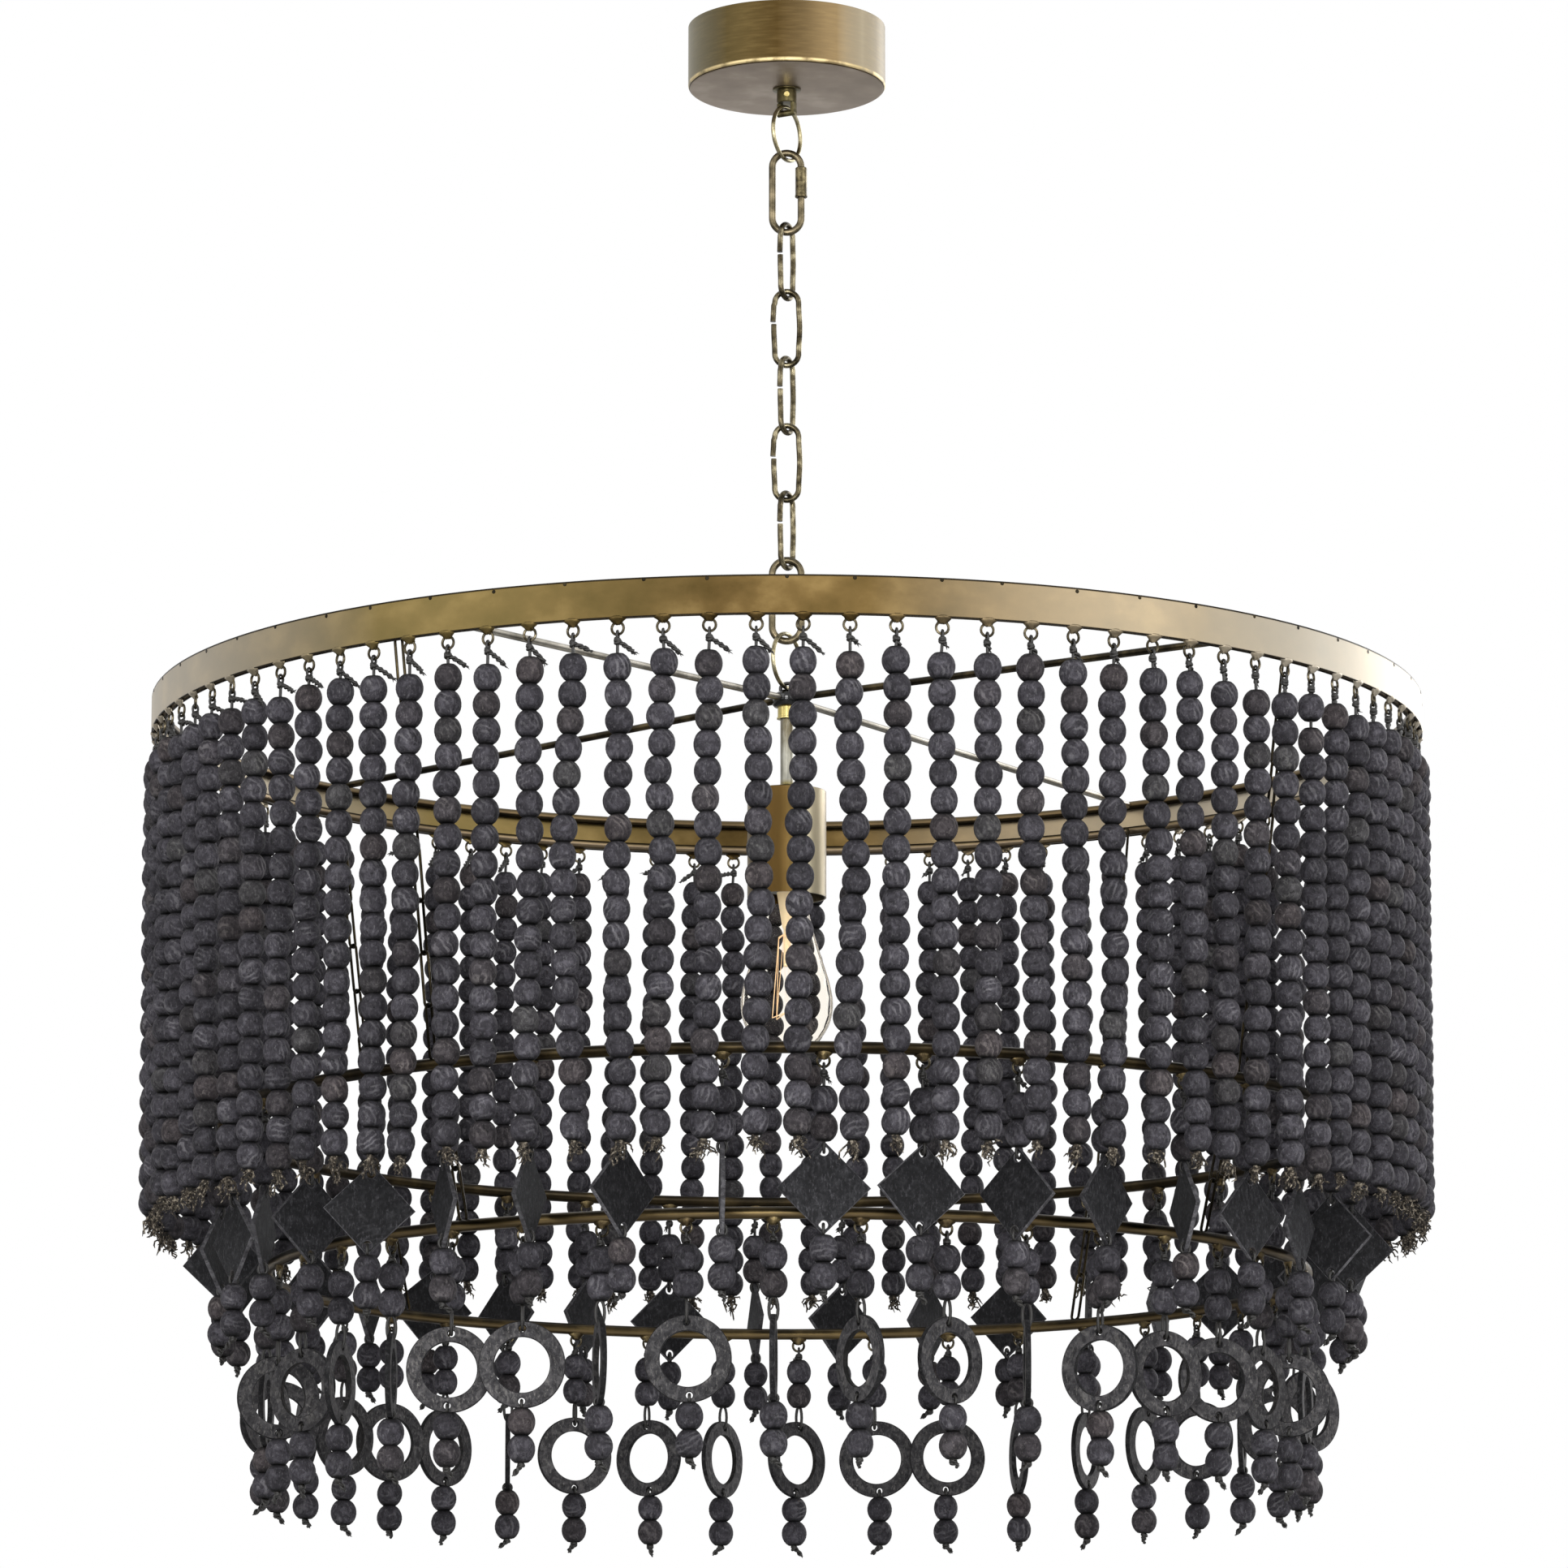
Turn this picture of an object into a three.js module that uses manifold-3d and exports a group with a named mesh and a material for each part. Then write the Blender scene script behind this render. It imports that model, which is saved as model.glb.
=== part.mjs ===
// Beaded chandelier: a canopy, a chain, and a hooped frame with three tiers of hanging bead strands.
// Millimetres, +Z up, the front towards -Y. The origin is the middle of the face against the ceiling.

import * as THREE from 'three';
import { mergeVertices } from 'three/addons/utils/BufferGeometryUtils.js';
import Module from 'manifold-3d';

const wasm = await Module();
wasm.setup();

// Clearances
const seatGap = 0.3;
const chainPlay = 1.2;
const cutOverrun = 1;
const weldDepth = 0.8;

// Ceiling strap and canopy
const strapLength = 110;
const strapWidth = 22;
const strapThickness = 2.5;
const strapSlotLength = 12;
const strapSlotWidth = 5;
const strapSlotSpacing = 70;
const studDiameter = 9.5;
const studBoreClearance = 0.35;
const canopyDiameter = 140;
const canopyHeight = 45;
const canopyWall = 1.2;
const canopyEdgeRadius = 1.2;

// Loop collar below the canopy
const collarDiameter = 14;
const collarHeight = 10.2;
const collarBoreDepth = 6.5;
const stirrupInnerWidth = 8;
const stirrupLegDepth = 5;
const stirrupBarDiameter = 4.6;
const setScrewDiameter = 4;
const setScrewLength = 2.2;
const setScrewProud = 0.7;

// Chain, from the top down
const ringDiameter = 41.5;
const ringWire = 3;
const ringTopRoom = 1.5;
const ringYaw = THREE.MathUtils.degToRad(60);
const quickLinkLength = 63.2;
const quickLinkWidth = 25.4;
const quickLinkWire = 5;
const quickLinkGap = 6;
const quickLinkGapInset = 3.1;
const quickLinkYaw = 0;
const nutLength = 22;
const nutDiameter = 8.8;
const nutBoreClearance = 0.45;
const nutInset = 0.6;
const linkLength = 57.9;
const linkWidth = 20.8;
const linkWire = 4;
const linkGap = 0.8;
const linkCount = 5;
const evenLinkYaw = 0;
const oddLinkYaw = ringYaw;

// Hub, stem and lampholder
const hubDiameter = 20;
const hubThickness = 7.5;
const hubRoom = 2.4;
const stemCollarDiameter = 14;
const stemCollarHeight = 10.5;
const stemDiameter = 9;
const stemLength = 51;
const socketDiameter = 55;
const socketHeight = 75;
const socketWall = 1.2;
const holderDiameter = 40;
const holderHeight = 68;
const holderFloor = 42;
const holderClearance = 0.9;

// Bulb
const bulbDiameter = 64;
const bulbLength = 140;
const bulbWall = 1.2;
const capDiameter = 26;
const capHeight = 27;
const capContactDiameter = 10;
const glassNeckDiameter = 28;
const filamentStemDiameter = 6;
const filamentWire = 1.2;
const filamentCageDiameter = 26;
const filamentLoops = 3;

// Hooped frame
const bandDiameter = 884;
const bandHeight = 25.5;
const bandWall = 1.5;
const bandTop = -494;
const hoopWire = 6.5;
const spokeWire = 5;
const spokeAzimuths = [-36, 50, 144, -130].map(THREE.MathUtils.degToRad);
const spokeHubInset = 1.5;

// Lower rings
const ringRod = 8;
const ringTwoRadius = 390;
const ringTwoDrop = 271.5;
const ringThreeRadius = 357;
const ringThreeDrop = 102;

// Hanger chains between the hoops
const hangerWire = 2;
const hangerLinkLength = 38;
const hangerLinkWidth = 8;

// Bead strands
const beadDiameter = 18;
const beadPitch = 17.4;
const beadWaist = 9;
const cordDiameter = 2.4;
const tailLength = 8;
const tierOneCount = 92;
const tierOneBeads = 18;
const tierOnePhase = THREE.MathUtils.degToRad(1.35);
const tierOneDrop = 29.9;
const tierOneOffset = 2;
const tierOneArcs = 7;
const tierTwoCount = 38;
const tierTwoPhase = THREE.MathUtils.degToRad(3.4);
const tierTwoArcs = 6;
const tierTwoDrop = 30;
const tierTwoSlack = 0;
const tierThreeCount = 40;
const tierThreePhase = THREE.MathUtils.degToRad(-1.4);
const tierThreeArcs = 6;
const tierThreeDrop = 24;
const tierThreeSlack = 10.5;
const plateDiagonal = 60;
const plateThickness = 3;
const plateHoleInset = 6.5;
const washerDiameter = 56;
const washerBore = 36;
const washerThickness = 3.5;
const washerHoleInset = 4;

// How far each plate and washer has turned away from the front, in degrees, from strand 0 on
const plateYaws = [
  0, 22, -40, 55, -76, 44, 68, -33, 12, 65, -84, 30, -50, 5, 71, 90, -24, 58, 38,
  -80, 17, 62, -46, 9, 75, -34, 87, 52, -20, 68, -60, 80, 36, 0, -73, 72, 49, -88,
];
const washerYaws = [
  88, -60, 44, 90, -33, 31, 20, 55, -12, 78, 40, -66, 5, 83, -30, 60, 68, -80, 10, -10,
  44, 61, -34, 20, -88, 51, 35, 48, -72, 15, 58, 86, 15, -38, 75, 88, 0, 0, -82, 0,
];

// Facet counts
const roundSides = 20;
const bulbSides = 10;
const smallSides = 10;
const wireSides = 6;
const hoopSides = 49;
const hoopWireSides = 4;
const ringRodSides = 4;
const arcSteps = 6;
const ringSteps = 16;
const strandSides = 4;
const washerSides = 8;
const filamentArcSteps = 2;
const hangerWireSides = 3;

// Geometry to closed solids and back

function solidOf(geometry) {
  const bare = geometry.clone();
  bare.deleteAttribute('normal');
  bare.deleteAttribute('uv');
  const merged = mergeVertices(bare, 1e-4);
  const index = merged.index.array;
  const corners = [];
  for (let i = 0; i < index.length; i += 3) {
    const [a, b, c] = [index[i], index[i + 1], index[i + 2]];
    if (a !== b && b !== c && c !== a) corners.push(a, b, c);
  }
  const mesh = new wasm.Mesh({
    numProp: 3,
    vertProperties: new Float32Array(merged.attributes.position.array),
    triVerts: new Uint32Array(corners),
  });
  return new wasm.Manifold(mesh);
}

function geometryOf(solid) {
  const mesh = solid.getMesh();
  const geometry = new THREE.BufferGeometry();
  geometry.setAttribute('position', new THREE.BufferAttribute(new Float32Array(mesh.vertProperties), 3));
  geometry.setIndex(new THREE.BufferAttribute(new Uint32Array(mesh.triVerts), 1));
  geometry.computeVertexNormals();
  return geometry;
}

function union(solids) {
  return wasm.Manifold.union(solids);
}

// Basic shapes

function box(width, depth, height, x, y, z) {
  const geometry = new THREE.BoxGeometry(width, depth, height);
  geometry.translate(x, y, z);
  return solidOf(geometry);
}

function turned(profile, sides) {
  const outline = profile.map(([radius, height]) => new THREE.Vector2(radius, height));
  const geometry = new THREE.LatheGeometry(outline, sides);
  geometry.rotateX(Math.PI / 2);
  return solidOf(geometry);
}

function cylinder(diameter, top, bottom, sides) {
  const radius = diameter / 2;
  return turned([[0, bottom], [radius, bottom], [radius, top], [0, top]], sides);
}

function tubeWall(outer, inner, top, bottom, sides) {
  const profile = [[inner, bottom], [outer, bottom], [outer, top], [inner, top], [inner, bottom]];
  return turned(profile, sides);
}

function crossRod(diameter, length, height, yaw, sides) {
  const geometry = new THREE.CylinderGeometry(diameter / 2, diameter / 2, length, sides);
  geometry.rotateZ(Math.PI / 2);
  geometry.rotateZ(yaw);
  geometry.translate(0, 0, height);
  return solidOf(geometry);
}

// Corner radius of a section with few sides that keeps the area of the round wire
function sectionRadius(wire, sides) {
  const corner = 2 * Math.PI / sides;
  return wire / 2 * Math.sqrt(corner / Math.sin(corner));
}

function flatRadius(wire, sides) {
  return sectionRadius(wire, sides) * Math.cos(Math.PI / sides);
}

// A wire along a path in the XZ plane; each station is a centre and its outward angle
function bentWire(stations, wire, sides, closed = true) {
  const positions = [];
  const index = [];
  const radius = sectionRadius(wire, sides);
  for (const { x, z, angle } of stations) {
    for (let j = 0; j < sides; j += 1) {
      const turn = 2 * Math.PI * (j + 1 / 2) / sides;
      const out = radius * Math.cos(turn);
      positions.push(x + out * Math.cos(angle), radius * Math.sin(turn), z + out * Math.sin(angle));
    }
  }
  const count = stations.length;
  const spans = closed ? count : count - 1;
  for (let i = 0; i < spans; i += 1) {
    const next = (i + 1) % count;
    for (let j = 0; j < sides; j += 1) {
      const beside = (j + 1) % sides;
      const [a, b] = [i * sides + j, i * sides + beside];
      const [c, d] = [next * sides + j, next * sides + beside];
      index.push(a, b, d, a, d, c);
    }
  }
  const last = spans * sides;
  for (let j = 1; !closed && j < sides - 1; j += 1) {
    index.push(0, j + 1, j);
    index.push(last, last + j, last + j + 1);
  }
  const geometry = new THREE.BufferGeometry();
  geometry.setAttribute('position', new THREE.Float32BufferAttribute(positions, 3));
  geometry.setIndex(index);
  return geometry;
}

function circlePath(radius, steps, phase = 0) {
  return Array.from({ length: steps }, (_, i) => {
    const angle = phase + 2 * Math.PI * i / steps;
    return { x: radius * Math.cos(angle), z: radius * Math.sin(angle), angle };
  });
}

// A racetrack of straight legs and round ends, long along Z
function stadiumPath(length, width, steps) {
  const radius = width / 2;
  const reach = (length - width) / 2;
  const stations = [];
  for (const [start, shift] of [[0, reach], [Math.PI, -reach]]) {
    for (let i = 0; i <= steps; i += 1) {
      const angle = start + Math.PI * i / steps;
      stations.push({ x: radius * Math.cos(angle), z: shift + radius * Math.sin(angle), angle });
    }
  }
  return stations;
}

// A plain long link with square ends
function squarePath(length, width) {
  const corner = Math.PI / 4;
  return [[1, 1, 1], [-1, 1, 3], [-1, -1, 5], [1, -1, 7]].map(([right, up, turns]) => (
    { x: right * width / 2, z: up * length / 2, angle: turns * corner }
  ));
}

// A level hoop of round rod about the Z axis, with a corner at the azimuth given; azimuth 0 is the front
function hoop(radius, rod, height, sides, rodSides, phase) {
  const geometry = bentWire(circlePath(radius, sides, phase - Math.PI / 2), rod, rodSides);
  geometry.rotateX(-Math.PI / 2);
  geometry.translate(0, 0, height);
  return solidOf(geometry);
}

// The radius that a many-sided hoop has at an azimuth
function hoopReach(radius, sides, phase, azimuth) {
  const step = 2 * Math.PI / sides;
  const pastCorner = THREE.MathUtils.euclideanModulo(azimuth - phase, step);
  return radius * Math.cos(step / 2) / Math.cos(pastCorner - step / 2);
}

// Part of such a hoop between two azimuths, with a half of the butt joint left at each end
function hoopArc(radius, rod, height, sides, rodSides, phase, start, end) {
  const step = 2 * Math.PI / sides;
  const trim = seatGap / 2 / radius;
  const azimuths = [start + trim];
  for (let i = Math.floor((start + trim - phase) / step) + 1; phase + i * step < end - trim; i += 1) {
    azimuths.push(phase + i * step);
  }
  azimuths.push(end - trim);
  const stations = azimuths.map((azimuth) => {
    const reach = hoopReach(radius, sides, phase, azimuth);
    const angle = azimuth - Math.PI / 2;
    return { x: reach * Math.cos(angle), z: reach * Math.sin(angle), angle };
  });
  const geometry = bentWire(stations, rod, rodSides, false);
  geometry.rotateX(-Math.PI / 2);
  geometry.translate(0, 0, height);
  return solidOf(geometry);
}

// The level where the next loop starts when it hangs from the inside of the one above
function hangFrom(bottom, wireAbove, wireBelow) {
  return bottom + wireAbove + wireBelow + chainPlay;
}

// Levels of the chain, all worked out from the collar
const collarTop = -canopyHeight - seatGap;
const collarBottom = collarTop - collarHeight;
const upperRingTop = collarBottom - ringTopRoom;
const upperRingBottom = upperRingTop - ringDiameter;
const upperLinkTop = hangFrom(upperRingBottom, ringWire, quickLinkWire);
const upperLinkBottom = upperLinkTop - quickLinkLength;
const linkTops = [hangFrom(upperLinkBottom, quickLinkWire, linkWire)];
for (let i = 1; i < linkCount; i += 1) {
  linkTops.push(hangFrom(linkTops[i - 1] - linkLength, linkWire, linkWire));
}
const lastLinkBottom = linkTops[linkCount - 1] - linkLength;
const lowerLinkTop = hangFrom(lastLinkBottom, linkWire, quickLinkWire);
const lowerLinkBottom = lowerLinkTop - quickLinkLength;
const lowerRingTop = hangFrom(lowerLinkBottom, quickLinkWire, ringWire);
const lowerRingBottom = lowerRingTop - ringDiameter;

// Levels of the frame
const hubBarHeight = lowerRingBottom + ringWire + seatGap + stirrupBarDiameter / 2;
const hubTop = lowerRingBottom - hubRoom;
const hubBottom = hubTop - hubThickness;
const stemCollarTop = hubBottom - seatGap;
const stemCollarBottom = stemCollarTop - stemCollarHeight;
const stemTop = stemCollarBottom - seatGap;
const stemBottom = stemTop - stemLength;
const socketTop = stemBottom - seatGap;
const socketBottom = socketTop - socketHeight;
const holderTop = socketTop - socketWall - seatGap;
const holderBottom = holderTop - holderHeight;
const capTop = holderTop - holderFloor - seatGap;
const bulbBottom = capTop - bulbLength;
const bandRadius = bandDiameter / 2;
const bandBottom = bandTop - bandHeight;
const ringTwoHeight = bandBottom - ringTwoDrop;
const ringThreeHeight = ringTwoHeight - ringThreeDrop;
const hoopRadius = bandRadius - bandWall - seatGap - hoopWire / 2;

// Colours read from the object under plain light
const finishes = {
  brass: { color: 0x9a8052, roughness: 0.42, metalness: 0.85 },
  paleBrass: { color: 0xb9a36c, roughness: 0.35, metalness: 0.85 },
  bronze: { color: 0x6e5c33, roughness: 0.5, metalness: 0.75 },
  blackMetal: { color: 0x1b1a18, roughness: 0.5, metalness: 0.6 },
  chain: { color: 0x7d735a, roughness: 0.4, metalness: 0.85 },
  charcoalWood: { color: 0x35343a, roughness: 0.85, metalness: 0 },
  zinc: { color: 0xb4b6b8, roughness: 0.4, metalness: 0.8 },
  phenolic: { color: 0x141414, roughness: 0.4, metalness: 0 },
  glass: { color: 0xf4efe4, roughness: 0.05, metalness: 0, transparent: true, opacity: 0.35 },
  filament: { color: 0xe0a050, roughness: 0.4, metalness: 0.2 },
};

const chandelier = new THREE.Group();

function place(name, solid, finish, parent = chandelier) {
  const mesh = new THREE.Mesh(geometryOf(solid), new THREE.MeshStandardMaterial(finishes[finish]));
  mesh.name = name;
  parent.add(mesh);
  return mesh;
}

// Ceiling strap with its welded stud
function ceilingStrap() {
  const strap = box(strapLength, strapWidth, strapThickness, 0, 0, -strapThickness / 2);
  const slotDepth = strapThickness + 2 * cutOverrun;
  const slots = [-1, 1].map((side) => box(
    strapSlotLength, strapSlotWidth, slotDepth, side * strapSlotSpacing / 2, 0, -strapThickness / 2,
  ));
  const studBottom = collarTop - collarBoreDepth + seatGap;
  const stud = cylinder(studDiameter, -strapThickness + weldDepth, studBottom, smallSides);
  return union([strap.subtract(union(slots)), stud]);
}

// Spun cup, open at the ceiling, with a rounded lower edge and a hole for the stud
function canopyCup() {
  const outer = canopyDiameter / 2;
  const hole = studDiameter / 2 + studBoreClearance;
  const floor = -canopyHeight + canopyWall;
  return turned([
    [hole, -canopyHeight],
    [outer - canopyEdgeRadius, -canopyHeight],
    [outer, -canopyHeight + canopyEdgeRadius],
    [outer, 0],
    [outer - canopyWall, 0],
    [outer - canopyWall, floor],
    [hole, floor],
    [hole, -canopyHeight],
  ], roundSides);
}

// A stirrup's bar stands square to the ring on it
const stirrupTurn = THREE.MathUtils.radToDeg(ringYaw + Math.PI / 2);

// Two legs and a round bar that a ring hangs on; the bar lies along the X axis
function stirrup(legTop, barHeight) {
  const outerWidth = collarDiameter;
  const legThickness = (outerWidth - stirrupInnerWidth) / 2;
  const legHeight = Math.abs(legTop - barHeight);
  const legMiddle = (legTop + barHeight) / 2;
  const legs = [-1, 1].map((side) => box(
    legThickness, stirrupLegDepth, legHeight, side * (outerWidth - legThickness) / 2, 0, legMiddle,
  ));
  const bar = crossRod(stirrupBarDiameter, outerWidth, barHeight, 0, smallSides);
  return union([...legs, bar]);
}

// Collar that screws on the stud and clamps the cup, with its stirrup and set screw hole
function canopyLoop() {
  const barHeight = upperRingTop - ringWire - seatGap - stirrupBarDiameter / 2;
  const body = cylinder(collarDiameter, collarTop, collarBottom, smallSides);
  const bore = cylinder(
    studDiameter + 2 * studBoreClearance, collarTop + cutOverrun, collarTop - collarBoreDepth, smallSides,
  );
  const hanger = stirrup(collarBottom + weldDepth, barHeight).rotate([0, 0, stirrupTurn]);
  const holeDiameter = setScrewDiameter + 2 * seatGap;
  const hole = setScrewShape(holeDiameter, collarDiameter / 2, collarDiameter / 2 + cutOverrun);
  return union([body.subtract(union([bore, hole])), hanger]);
}

const setScrewHeight = collarTop - collarHeight / 2;

function setScrewShape(diameter, depth, reach) {
  const geometry = new THREE.CylinderGeometry(diameter / 2, diameter / 2, depth, smallSides);
  geometry.translate(0, depth / 2 - reach, setScrewHeight);
  return solidOf(geometry);
}

place('ceiling_crossbar', ceilingStrap(), 'zinc');
place('canopy_cup', canopyCup(), 'brass');
place('canopy_loop', canopyLoop(), 'bronze');
const setScrew = setScrewShape(setScrewDiameter, setScrewLength, collarDiameter / 2 + setScrewProud);
place('loop_set_screw', setScrew, 'paleBrass');

// Chain loops stand in the XZ plane with their top at the given level, then turn by their yaw

function chainMesh(name, solid, top, yaw) {
  const mesh = place(name, solid, 'chain');
  mesh.position.z = top;
  mesh.rotation.z = yaw;
  return mesh;
}

function roundRing() {
  const path = circlePath((ringDiameter - ringWire) / 2, ringSteps, Math.PI / 2);
  return solidOf(bentWire(path, ringWire, wireSides)).translate([0, 0, -ringDiameter / 2]);
}

function longLoop(length, width, wire) {
  const path = stadiumPath(length - wire, width - wire, arcSteps);
  return solidOf(bentWire(path, wire, wireSides)).translate([0, 0, -length / 2]);
}

// The right leg is open where the sleeve nut closes it
function quickLink() {
  const legX = (quickLinkWidth - quickLinkWire) / 2;
  const gapMiddle = -quickLinkWidth / 2 - quickLinkGapInset - quickLinkGap / 2;
  const opening = 2 * quickLinkWire;
  const cut = box(opening, opening, quickLinkGap, legX, 0, gapMiddle);
  return longLoop(quickLinkLength, quickLinkWidth, quickLinkWire).subtract(cut);
}

// The left leg has the butt joint of a bent, unwelded link
function chainLink() {
  const legX = -(linkWidth - linkWire) / 2;
  const opening = 2 * linkWire;
  const cut = box(opening, opening, linkGap, legX, 0, -linkLength / 2 + linkWire);
  return longLoop(linkLength, linkWidth, linkWire).subtract(cut);
}

function sleeveNut() {
  const inner = quickLinkWire / 2 + nutBoreClearance;
  return tubeWall(nutDiameter / 2, inner, 0, -nutLength, wireSides * 2);
}

function sleeveNutMesh(name, linkTop) {
  const legX = (quickLinkWidth - quickLinkWire) / 2;
  const holder = new THREE.Group();
  holder.rotation.z = quickLinkYaw;
  holder.position.z = linkTop - quickLinkWidth / 2 - nutInset;
  chandelier.add(holder);
  const mesh = place(name, sleeveNut(), 'chain', holder);
  mesh.position.x = legX;
}

chainMesh('upper_ring', roundRing(), upperRingTop, ringYaw);
chainMesh('upper_quick_link', quickLink(), upperLinkTop, quickLinkYaw);
sleeveNutMesh('upper_sleeve_nut', upperLinkTop);
linkTops.forEach((top, i) => {
  const yaw = i % 2 ? evenLinkYaw : oddLinkYaw;
  chainMesh(`chain_link_${i + 1}`, chainLink(), top, yaw);
});
chainMesh('lower_quick_link', quickLink(), lowerLinkTop, quickLinkYaw);
sleeveNutMesh('lower_sleeve_nut', lowerLinkTop);
chainMesh('lower_ring', roundRing(), lowerRingTop, ringYaw);

// Hub with the stirrup that the lower ring carries
function hub() {
  const disc = cylinder(hubDiameter, hubTop, hubBottom, roundSides / 2);
  const eye = stirrup(hubTop - weldDepth, hubBarHeight).rotate([0, 0, stirrupTurn]);
  return union([disc, eye]);
}

// Socket tube: closed above, open below
function socketTube() {
  const outer = socketDiameter / 2;
  const inner = outer - socketWall;
  return turned([
    [0, socketTop],
    [0, socketTop - socketWall],
    [inner, socketTop - socketWall],
    [inner, socketBottom],
    [outer, socketBottom],
    [outer, socketTop],
    [0, socketTop],
  ], roundSides);
}

function lampholder() {
  const bore = capDiameter / 2 + holderClearance;
  const outer = holderDiameter / 2;
  const floor = holderTop - holderFloor;
  return turned([
    [0, holderTop],
    [0, floor],
    [bore, floor],
    [bore, holderBottom],
    [outer, holderBottom],
    [outer, holderTop],
    [0, holderTop],
  ], roundSides);
}

place('hub', hub(), 'blackMetal');
place('stem_collar', cylinder(stemCollarDiameter, stemCollarTop, stemCollarBottom, smallSides), 'paleBrass');
place('stem', cylinder(stemDiameter, stemTop, stemBottom, smallSides), 'brass');
place('socket_tube', socketTube(), 'brass');
place('lampholder', lampholder(), 'phenolic');

// Bulb: cap, hollow glass that is open at its neck, and the filament on its stem
function bulbCap() {
  const radius = capDiameter / 2;
  const contact = capContactDiameter / 2;
  const shoulder = capTop - contact;
  return turned([
    [0, capTop],
    [0, capTop - capHeight],
    [radius, capTop - capHeight],
    [radius, shoulder],
    [contact, capTop],
    [0, capTop],
  ], smallSides);
}

// Shares of the bulb's radius and of the glass's height, from the neck to the tip
const glassShares = [[0.56, 0.22], [0.8, 0.45], [1, 0.7], [0.84, 0.86], [0.44, 0.96]];

function bulbGlass() {
  const neckTop = capTop - capHeight - seatGap;
  const height = neckTop - bulbBottom;
  const neck = glassNeckDiameter / 2;
  const outline = (wall) => glassShares.map(([radiusShare, heightShare]) => [
    radiusShare * bulbDiameter / 2 - wall, neckTop - heightShare * height,
  ]);
  const inside = [[neck - bulbWall, neckTop], ...outline(bulbWall), [0, bulbBottom + bulbWall]];
  const outside = [[0, bulbBottom], ...outline(0).reverse(), [neck, neckTop]];
  return turned([...inside, ...outside, inside[0]], bulbSides);
}

// A cage of wires between the top and the bottom of a glass stem
function filament() {
  const stemTopLevel = capTop - capHeight - 2 * seatGap;
  const cageTop = stemTopLevel - capHeight;
  const cageHeight = cageTop - bulbBottom - capHeight;
  const stemRod = turned([
    [0, cageTop - weldDepth],
    [filamentWire, cageTop - weldDepth],
    [filamentStemDiameter, stemTopLevel],
    [0, stemTopLevel],
  ], wireSides);
  const middle = cageTop - cageHeight / 2;
  const pieces = [stemRod];
  for (let i = 0; i < filamentLoops; i += 1) {
    const path = stadiumPath(cageHeight, filamentCageDiameter, filamentArcSteps);
    const wire = solidOf(bentWire(path, filamentWire, hangerWireSides));
    pieces.push(wire.rotate([0, 0, 180 * i / filamentLoops]).translate([0, 0, middle]));
  }
  return union(pieces);
}

place('bulb_cap', bulbCap(), 'brass');
place('bulb_glass', bulbGlass(), 'glass');
place('filament', filament(), 'filament');

// Frame: strip, two hoops inside it, and four spokes that butt against the upper hoop
function bandStrip() {
  return tubeWall(bandRadius, bandRadius - bandWall, bandTop, bandBottom, hoopSides);
}

function spoke(azimuth) {
  const hubEnd = new THREE.Vector3(hubDiameter / 2 + seatGap, 0, hubTop - spokeWire / 2 - spokeHubInset);
  const reach = hoopReach(hoopRadius, hoopSides, 0, azimuth) - flatRadius(hoopWire, hoopWireSides) - seatGap;
  const bandEnd = new THREE.Vector3(reach, 0, bandTop - hoopWire / 2);
  const circle = new THREE.Shape().absarc(0, 0, spokeWire / 2, 0, 2 * Math.PI);
  const geometry = new THREE.ExtrudeGeometry(circle, {
    extrudePath: new THREE.LineCurve3(hubEnd, bandEnd), steps: 1, curveSegments: wireSides,
  });
  geometry.rotateZ(azimuth - Math.PI / 2);
  return solidOf(geometry);
}

// The places of the strands round a ring, with the radius at each azimuth
function strandPlaces(count, radiusAt, phase) {
  return Array.from({ length: count }, (_, i) => {
    const azimuth = phase + 2 * Math.PI * i / count;
    const radius = radiusAt(azimuth);
    return { x: radius * Math.sin(azimuth), y: -radius * Math.cos(azimuth), azimuth, number: i };
  });
}

function strandFrom(levels, { x, y, azimuth }) {
  const strand = turned([...levels].reverse(), strandSides);
  return strand.rotate([0, 0, THREE.MathUtils.radToDeg(azimuth)]).translate([x, y, 0]);
}

// Cord and two beads above a pendant, ending in the pendant's upper hole
function upperPair(top, firstBead, end) {
  return [
    [0, top],
    [cordDiameter / 2, firstBead + beadDiameter / 2],
    [beadDiameter / 2, firstBead],
    [beadWaist / 2, firstBead - beadPitch / 2],
    [beadDiameter / 2, firstBead - beadPitch],
    [0, end],
  ];
}

// Two beads and the knotted tail below a pendant
function lowerPair(top, firstBead) {
  const lastBead = firstBead - beadPitch;
  return [
    [0, top],
    [beadDiameter / 2, firstBead],
    [beadWaist / 2, firstBead - beadPitch / 2],
    [beadDiameter / 2, lastBead],
    [0, lastBead - beadDiameter / 2 - tailLength],
  ];
}

// Long strand: the packed beads are one straight column here
function beadColumn(top) {
  const firstBead = bandBottom - tierOneDrop;
  const lastBead = firstBead - (tierOneBeads - 1) * beadPitch;
  return [
    [0, top],
    [cordDiameter / 2, firstBead + beadDiameter / 2],
    [beadDiameter / 2, firstBead + beadDiameter / 4],
    [beadDiameter / 2, lastBead - beadDiameter / 4],
    [0, lastBead - beadDiameter / 2 - tailLength],
  ];
}

// The strands of a ring shared out to the arcs of its rod: the strands of each and the azimuths of its ends
function arcShares(count, phase, arcs) {
  const step = 2 * Math.PI / count;
  return Array.from({ length: arcs }, (_, i) => {
    const first = Math.round(i * count / arcs);
    const next = Math.round((i + 1) * count / arcs);
    return { first, next, start: phase + (first - 1 / 2) * step, end: phase + (next - 1 / 2) * step };
  });
}

// The lower hoop carries the long strands
const railHeight = bandBottom + hoopWire / 2;

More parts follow.
